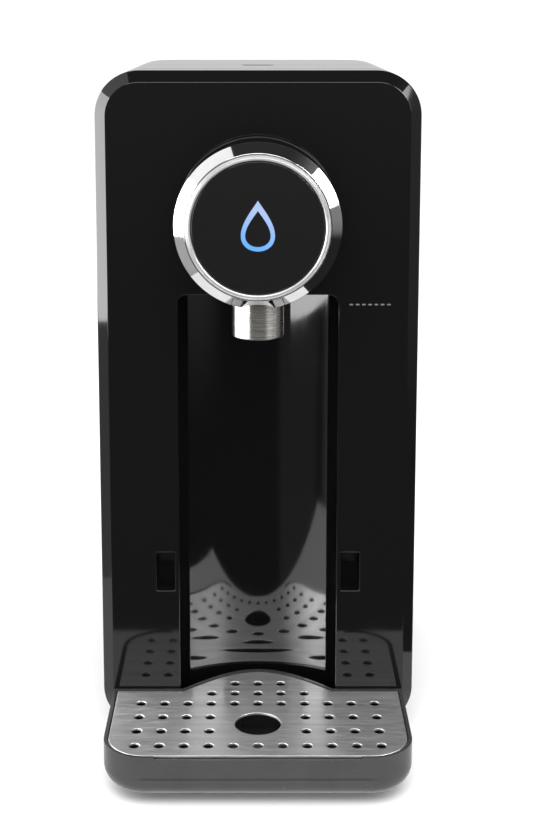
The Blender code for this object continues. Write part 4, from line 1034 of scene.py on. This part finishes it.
def make_tank_lid():
    """Hollow top slice of the cabinet's outline, hinged at the back of the tank."""
    low, steps = PARTING_Z + GAP, 20
    hollow = CORNER - WALL
    outer, inner = [(HALF, low)], []
    for i in range(steps + 1):
        angle = math.radians(90 * i / steps)
        outer.append((HALF - CORNER * (1 - math.cos(angle)),
                      HEIGHT - CORNER * (1 - math.sin(angle))))
        angle = math.radians(90 - 90 * i / steps)
        inner.append((HALF - hollow * (1 - math.cos(angle)),
                      HEIGHT - WALL - hollow * (1 - math.sin(angle))))
    inner.append((HALF, low))
    rings = [[(x, y, z) for x, y in tank_plan(WALL, half)] for half, z in inner]
    rings += [[(x, y, z) for x, y in tank_plan(0.0, half)] for half, z in outer]
    round_r, far = 0.0044, 0.020
    rear = [(LID_AXIS_Y + far, LID_AXIS_Z), (LID_AXIS_Y + round_r, LID_AXIS_Z)]
    for i in range(1, 19):
        angle = math.radians(5 * i)
        rear.append((LID_AXIS_Y + round_r * math.cos(angle),
                     LID_AXIS_Z - round_r * math.sin(angle)))
    rear += [(LID_AXIS_Y, low - far), (LID_AXIS_Y + far, low - far)]
    cuts = [loft([[(x, y, z) for y, z in rear] for x in (-HALF - OVER, HALF + OVER)])]
    for side in (-1, 1):
        x0, x1 = sorted((side * (EAR_IN - GAP), side * (EAR_OUT + GAP)))
        cuts.append(box((x0, LID_AXIS_Y - 0.006, low - far),
                        (x1, LID_AXIS_Y + far, LID_AXIS_Z + 0.0042)))
    cuts.append(rod(LID_PIN_R + GAP, -0.040, 0.040, "X", LID_AXIS, 32))
    obj = as_object("lid_blank", loft(rings))
    combined(obj, cuts[:1], "DIFFERENCE")
    bm = bmesh.new()
    bm.from_mesh(obj.data)
    bmesh.ops.translate(bm, verts=bm.verts, vec=(0, -PANEL_Y, 0))
    bpy.data.objects.remove(obj)
    fine("tank_lid", bm, joins=[rod(0.0038, -EAR_IN + GAP, EAR_IN - GAP, "X", LID_AXIS, 48)],
         cuts=cuts[1:], edge=0.0004, sharp=40)


def make_lid_pin():
    profile = softened([(0.0001, -0.0295, 0), (LID_PIN_R, -0.0295, 0.0004),
                        (LID_PIN_R, 0.0295, 0.0004), (0.0001, 0.0295, 0)])
    fine("lid_pin", turned(profile, "X", LID_AXIS, 32))


# ---- drip tray ----------------------------------------------------------------------------

CREASE_HALF, CREASE_FADE, CREASE_OUT = 0.0545, 0.0060, 0.00030


def tray_plan(inset, rear=TRAY_REAR, steps=20):
    return rounded(TRAY_HALF - inset, TRAY_FRONT + inset, rear, (TRAY_CORNER - inset, 0.0), steps)


def tub(levels, rear):
    """A tray-shaped solid over (inset, z, ridge) levels; ridge pushes the front out a little."""
    rings = []
    for inset, z, ridge in levels:
        ring = []
        for x, y in tray_plan(inset, rear):
            fade = min(1.0, max(0.0, (CREASE_HALF + CREASE_FADE - abs(x)) / CREASE_FADE))
            ring.append((x, y - ridge * fade if y < TRAY_FRONT / 2 else y, z))
        rings.append(ring)
    return loft(rings)


def tub_levels(inset, floor, top, radius, ridge=0.0, steps=12):
    levels = []
    for i in range(steps + 1):
        angle = math.radians(90 * i / steps)
        levels.append((inset + radius * (1 - math.sin(angle)), floor + radius * (1 - math.cos(angle)),
                       0.0))
    if ridge:
        crease = floor + radius
        levels[-1] = (inset, crease - 0.0008, ridge * 0.5)
        levels += [(inset, crease - 0.0003, ridge), (inset, crease, ridge * 1.1),
                   (inset, crease + 0.0003, ridge), (inset, crease + 0.0008, ridge * 0.35),
                   (inset, crease + 0.0016, 0.0)]
    levels.append((inset, top, 0.0))
    return levels


def hump(half, start, peak, low, high):
    return plan_prism([(half, start - 0.010), *bell(half, start, peak), (-half, start - 0.010)],
                      low, high)


def grid_outline(inset, steps=20):
    """The grid's outline: round front corners, straight rear edge with the hump."""
    half, radius = PLATE_HALF - inset, PLATE_CORNER - inset
    rear = PLATE_REAR - inset
    outline = rounded(half, PLATE_FRONT + inset, rear, (radius, 0.0), steps)
    split = outline.index((half, rear)) + 1
    lobe = bell(HUMP_HALF - inset, rear, HUMP_PEAK - inset)
    return outline[:split] + lobe + outline[split:]


def make_drip_tray():
    """Tub with a crease line, a ledge for the grid, a hump into the niche and two tongues."""
    thick = TRAY_WALL + TRAY_LEDGE
    ledge = PLATE_Z - PLATE_T - GAP
    rear = PLATE_REAR - TRAY_LEDGE
    tongues = [box((x - TONGUE_HALF, TRAY_REAR - 0.003, 0.0120),
                   (x + TONGUE_HALF, TRAY_REAR + 0.0080, 0.0225)) for x in (-SLOT_X, SLOT_X)]
    notch = [(-0.0530, TRAY_RIM + OVER), (-0.0500, TRAY_RIM - 0.0014),
             (0.0500, TRAY_RIM - 0.0014), (0.0530, TRAY_RIM + OVER)]
    fine("drip_tray",
         tub(tub_levels(0.0, TRAY_BOTTOM, TRAY_RIM, TRAY_ROUND, CREASE_OUT), TRAY_REAR),
         joins=[hump(HUMP_HALF + 0.0010, TRAY_REAR - 0.0005, HUMP_PEAK + 0.0033,
                     TRAY_HUMP_FLOOR, TRAY_RIM), *tongues],
         cuts=[tub(tub_levels(thick, TRAY_BOTTOM + TRAY_WALL, ledge + 0.0020,
                              TRAY_ROUND - thick), rear),
               hump(HUMP_HALF - 0.0035, rear, HUMP_PEAK - 0.0025,
                    TRAY_HUMP_FLOOR + TRAY_WALL, ledge + 0.0021),
               plan_prism(grid_outline(-2 * GAP), ledge, TRAY_RIM + OVER),
               front_prism(notch, TRAY_FRONT - OVER, PLATE_FRONT + 0.001)],
         edge=0.00025, sharp=38)


def grid_holes():
    """Rows of small holes, thinned beside the large centre hole and on the hump."""
    front_row = CENTRE_HOLE_Y - 1.5 * ROW_PITCH - 0.0003
    beside = (-5, -4, -3, -2, 2, 3, 4, 5)
    rows = [(front_row, range(-5, 6)), (front_row + ROW_PITCH, beside),
            (front_row + 2 * ROW_PITCH, beside), (front_row + 3 * ROW_PITCH, range(-5, 6)),
            (front_row + 3 * ROW_PITCH + 0.0116, range(-2, 3)),
            (front_row + 3 * ROW_PITCH + 0.0232, range(-1, 2))]
    return [(i * HOLE_PITCH, y) for y, columns in rows for i in columns]


def make_drip_grid():
    """Punched plate: rolled outer edge and holes whose rims dip where the punch went in."""
    roll = 0.0004
    low = PLATE_Z - PLATE_T
    bm = bmesh.new()
    edge = softened([(0.0012, PLATE_Z, 0), (0.0, PLATE_Z, roll), (0.0, low, roll * 0.6),
                     (0.0012, low, 0)])
    rows = strip(bm, [[(x, y, z) for x, y in grid_outline(inset)] for inset, z in edge])
    tops, bottoms = [rows[0]], [rows[-1]]
    spots = [(CENTRE_HOLE_R, 0, CENTRE_HOLE_Y, 96)]
    spots += [(HOLE_R, x, y, 28) for x, y in grid_holes()]
    for radius, x, y, sides in spots:
        dip = softened([(radius + 0.0006, PLATE_Z, 0), (radius, PLATE_Z - 0.0001, 0.0003),
                        (radius, low, 0.0001), (radius + 0.0003, low, 0)], False, 4)
        made = strip(bm, [circle(r, z, "Z", (x, y), sides) for r, z in dip])
        tops.append(made[0])
        bottoms.append(made[-1])
    fill(bm, *tops)
    fill(bm, *bottoms)
    fine("drip_grid", bm)


def make_tray_feet():
    """Two small rubber feet under the tray."""
    low, high = span("tray_foot_left")
    radius, top = (high.x - low.x) / 2, high.z
    profile = softened([(0.0001, 0.0003, 0), (radius * 0.5, 0.0, 0.0004),
                        (radius * 0.9, 0.0, 0.0005), (radius, top, 0.0002), (0.0001, top, 0)])
    for side in ("left", "right"):
        low, high = span(f"tray_foot_{side}")
        centre = ((low.x + high.x) / 2, (low.y + high.y) / 2)
        fine(f"tray_foot_{side}", turned(profile, "Z", centre, 40))


# ---- printed mark -------------------------------------------------------------------------

def make_panel_mark():
    """A generic printed row of short dashes beside the niche."""
    shade = Shade("print_grey", (0.30, 0.30, 0.30), 0.45)
    shade.set("Roughness", shade.spread(shade.noise(900, 2), 0.35, 0.55))
    worn = shade.cloud(1500, 3)
    shade.set("Base Color", shade.blend(worn, (0.10, 0.10, 0.10), (0.17, 0.17, 0.17)))
    bm = bmesh.new()
    dashes, left, right, z = 7, 0.0462, 0.0685, HEIGHT - 0.1184
    pitch = (right - left) / dashes
    for i in range(dashes):
        outline = [(left + pitch * (i + 0.45) + u, z + v) for u, v in
                   rounded(pitch * 0.30, -0.0004, 0.0004, (0.00035, 0.00035), 4)]
        strip_rows = strip(bm, [[(x, y, v) for x, v in outline] for y in (-0.00004, 0.00004)])
        bm.faces.new(strip_rows[0])
        bm.faces.new(strip_rows[-1])
    extra("panel_mark", bm, shade.material, "cabinet")


# ---- assembly -----------------------------------------------------------------------------

for make in (
    make_front_panel, make_slot_ramps, make_body_shell, make_base_plate, make_rear_cover,
    make_cover_screws, make_cord_gland, make_body_feet, make_niche_liner, make_tank_cradle,
    make_cradle_pin, make_head_collar, make_head_band, make_dial_ring, make_touch_disc,
    make_drop_light, make_nozzle, make_nozzle_insert, make_button_spring, make_water_tank,
    make_tank_valve, make_tank_strainer, make_tank_lid, make_lid_pin, make_drip_tray, make_drip_grid,
    make_tray_feet, make_panel_mark,
):
    make()

for node, obj in NODES.items():
    if not obj.hide_render:
        obj.data.materials.clear()
        obj.data.materials.append(material_of(SLOT_OF[node]))


# ---- stage, light and camera --------------------------------------------------------------

def stage_mesh(name, bm, material):
    mesh = bpy.data.meshes.new(name)
    bm.to_mesh(mesh)
    bm.free()
    mesh.materials.append(material)
    obj = bpy.data.objects.new(name, mesh)
    bpy.context.scene.collection.objects.link(obj)
    return obj


def stage_plane(name, low, high, z, material):
    bm = bmesh.new()
    corners = ((low[0], low[1]), (high[0], low[1]), (high[0], high[1]), (low[0], high[1]))
    bm.faces.new([bm.verts.new((x, y, z)) for x, y in corners])
    return stage_mesh(name, bm, material)


def only_in_reflections(obj):
    obj.visible_camera = False
    obj.visible_diffuse = False
    obj.visible_transmission = False
    obj.visible_shadow = False


def paper():
    """The pale floor, with a faint unevenness."""
    shade = Shade("pale_paper", (0.97, 0.97, 0.97), 0.85, Specular_IOR_Level=0.1)
    tone = shade.cloud(3, 2)
    shade.set("Base Color", shade.blend(tone, (0.97, 0.97, 0.97), (0.98, 0.98, 0.98)))
    return shade.material


def emitter(name, strength, level=None):
    """A plain emission material; level(tree) may give the strength by place instead."""
    material = bpy.data.materials.new(name)
    material.use_nodes = True
    tree = material.node_tree
    tree.nodes.clear()
    emission = tree.nodes.new("ShaderNodeEmission")
    emission.inputs["Strength"].default_value = strength
    output = tree.nodes.new("ShaderNodeOutputMaterial")
    tree.links.new(emission.outputs["Emission"], output.inputs["Surface"])
    if level:
        tree.links.new(level(tree), emission.inputs["Strength"])
    material.cycles.emission_sampling = "NONE"
    return material


# Each patch of the dim studio: its level and the ranges of direction over which it fades in.
# In order: room above the horizon, ceiling, right wall, left of the table, left in front, and
# the white sweep behind.
STUDIO_BASE = 0.018
STUDIO_PATCHES = (
    (0.060, (("Z", -0.16, 0.02),)),
    (-0.050, (("Z", 0.70, 0.90),)),
    (0.150, (("X", 0.60, 0.90), ("Z", -0.26, -0.12))),
    (0.400, (("X", -0.60, -0.80), ("Y", -0.40, -0.20), ("Z", 0.30, 0.10))),
    (0.070, (("X", -0.35, -0.50), ("Y", -0.35, -0.50))),
    (0.620, (("Y", 0.84, 0.93), ("Z", 0.34, 0.22))),
)


def studio_level(tree):
    """Brightness of the studio by direction from its middle."""
    def math_node(operation, a, b):
        node = tree.nodes.new("ShaderNodeMath")
        node.operation = operation
        for socket, value in zip(node.inputs, (a, b)):
            if isinstance(value, bpy.types.NodeSocket):
                tree.links.new(value, socket)
            else:
                socket.default_value = value
        return node.outputs["Value"]

    place = tree.nodes.new("ShaderNodeTexCoord").outputs["Object"]
    unit = tree.nodes.new("ShaderNodeVectorMath")
    unit.operation = "NORMALIZE"
    tree.links.new(place, unit.inputs[0])
    split = tree.nodes.new("ShaderNodeSeparateXYZ")
    tree.links.new(unit.outputs["Vector"], split.inputs["Vector"])
    total = STUDIO_BASE
    for level, ranges in STUDIO_PATCHES:
        patch = level
        for axis, start, end in ranges:
            node = tree.nodes.new("ShaderNodeMapRange")
            node.interpolation_type = "SMOOTHSTEP"
            node.inputs["From Min"].default_value = start
            node.inputs["From Max"].default_value = end
            tree.links.new(split.outputs[axis], node.inputs["Value"])
            patch = math_node("MULTIPLY", node.outputs["Result"], patch)
        total = math_node("ADD", patch, total)
    return total


def soft_light(name, place, aim, width, height, radiance, roll=0.0, diffuse=False):
    """A softbox that faces aim; roll turns it about its own axis, in degrees."""
    light = bpy.data.lights.new(name, "AREA")
    light.shape = "RECTANGLE"
    light.size, light.size_y = width, height
    light.energy = radiance * 4 * width * height
    obj = bpy.data.objects.new(name, light)
    obj.location = place
    facing = (Vector(aim) - Vector(place)).to_track_quat("-Z", "Y")
    obj.rotation_euler = (facing @ Quaternion((0, 0, 1), math.radians(roll))).to_euler()
    obj.visible_camera = False
    obj.visible_diffuse = diffuse
    bpy.context.scene.collection.objects.link(obj)


WORLD_WHITE = 1.25
FLOOR_HALF, WALLS_R = 8, 7.0
TABLE_LEFT, TABLE_RIGHT, TABLE_FRONT, TABLE_BACK = 0.22, 0.10, 0.136, 2.0
TABLE_Z, TABLE_WHITE = 0.0002, 0.95


def make_studio():
    """White room for sight and soft light; reflections see a dim studio round a white table."""
    world = bpy.data.worlds.new("white_room")
    world.use_nodes = True
    background = world.node_tree.nodes["Background"]
    background.inputs["Color"].default_value = (1.0, 1.0, 1.0, 1.0)
    background.inputs["Strength"].default_value = WORLD_WHITE
    world.cycles_visibility.glossy = False
    bpy.context.scene.world = world
    floor = stage_plane("floor", (-FLOOR_HALF, -FLOOR_HALF), (FLOOR_HALF, FLOOR_HALF), 0.0,
                        paper())
    floor.visible_glossy = False
    bm = bmesh.new()
    bmesh.ops.create_uvsphere(bm, u_segments=48, v_segments=24, radius=WALLS_R)
    only_in_reflections(stage_mesh("studio_walls", bm, emitter("studio_glow", 0.1, studio_level)))
    table_low = (-HALF - TABLE_LEFT, PANEL_Y - TABLE_FRONT)
    table_high = (HALF + TABLE_RIGHT, PANEL_Y + TABLE_BACK)
    only_in_reflections(stage_plane("table_top", table_low, table_high, TABLE_Z,
                                    emitter("table_glow", TABLE_WHITE)))


HEAD_SPOT = (0.0, PANEL_Y - 0.04, HEAD_Z)
LEFT_X, LEFT_WIDTH = -0.78, 0.75
# The left boxes are bright below, where the bevels mirror them, and mild above it, so that the
# gloss top of the cabinet doesn't burn out.
LEFT_PARTS = (("low", 0.08, 0.70, 6.0), ("high", 0.70, 2.28, 0.8))

make_studio()
for name, y in (("left_box", -0.225), ("left_back_box", -0.225 + LEFT_WIDTH)):
    for part, low, high, radiance in LEFT_PARTS:
        height, z = high - low, (low + high) / 2
        soft_light(f"{name}_{part}", (LEFT_X, y, z), (0.0, y, z), LEFT_WIDTH, height, radiance)
soft_light("right_strip", (0.80, -0.160, 0.655), (0.0, -0.160, 0.655), 0.16, 0.53, 5.0)
soft_light("left_front_box", (-0.72, -0.64, 0.33), (0.28, -0.64, 0.33), 0.72, 0.60, 4.0, -9)
soft_light("right_high_box", (0.85, -0.60, 0.95), HEAD_SPOT, 0.60, 0.50, 12.0)
soft_light("front_top_box", (0.0, -0.95, 1.35), (0.0, PANEL_Y - 0.03, 0.0), 1.2, 0.8, 4.0,
           diffuse=True)

CAMERA_DISTANCE, CAMERA_HEIGHT, CAMERA_PITCH = 0.7388, 0.3811, 9.14
CAMERA_LENS, CAMERA_SENSOR = 63.29, 36.0
CAMERA_SHIFT_X, CAMERA_SHIFT_Y = 0.0138, -0.20

camera_data = bpy.data.cameras.new("camera")
camera = bpy.data.objects.new("camera", camera_data)
bpy.context.scene.collection.objects.link(camera)
camera_data.sensor_width = CAMERA_SENSOR
camera_data.sensor_fit = "AUTO"
camera_data.lens = CAMERA_LENS
camera_data.shift_x = CAMERA_SHIFT_X
camera_data.shift_y = CAMERA_SHIFT_Y
camera_data.clip_start, camera_data.clip_end = 0.01, 50
camera.location = (0.0, PANEL_Y - CAMERA_DISTANCE, CAMERA_HEIGHT)
camera.rotation_euler = (math.radians(90 - CAMERA_PITCH), 0.0, 0.0)
bpy.context.scene.camera = camera
bpy.context.scene.view_settings.view_transform = "Standard"
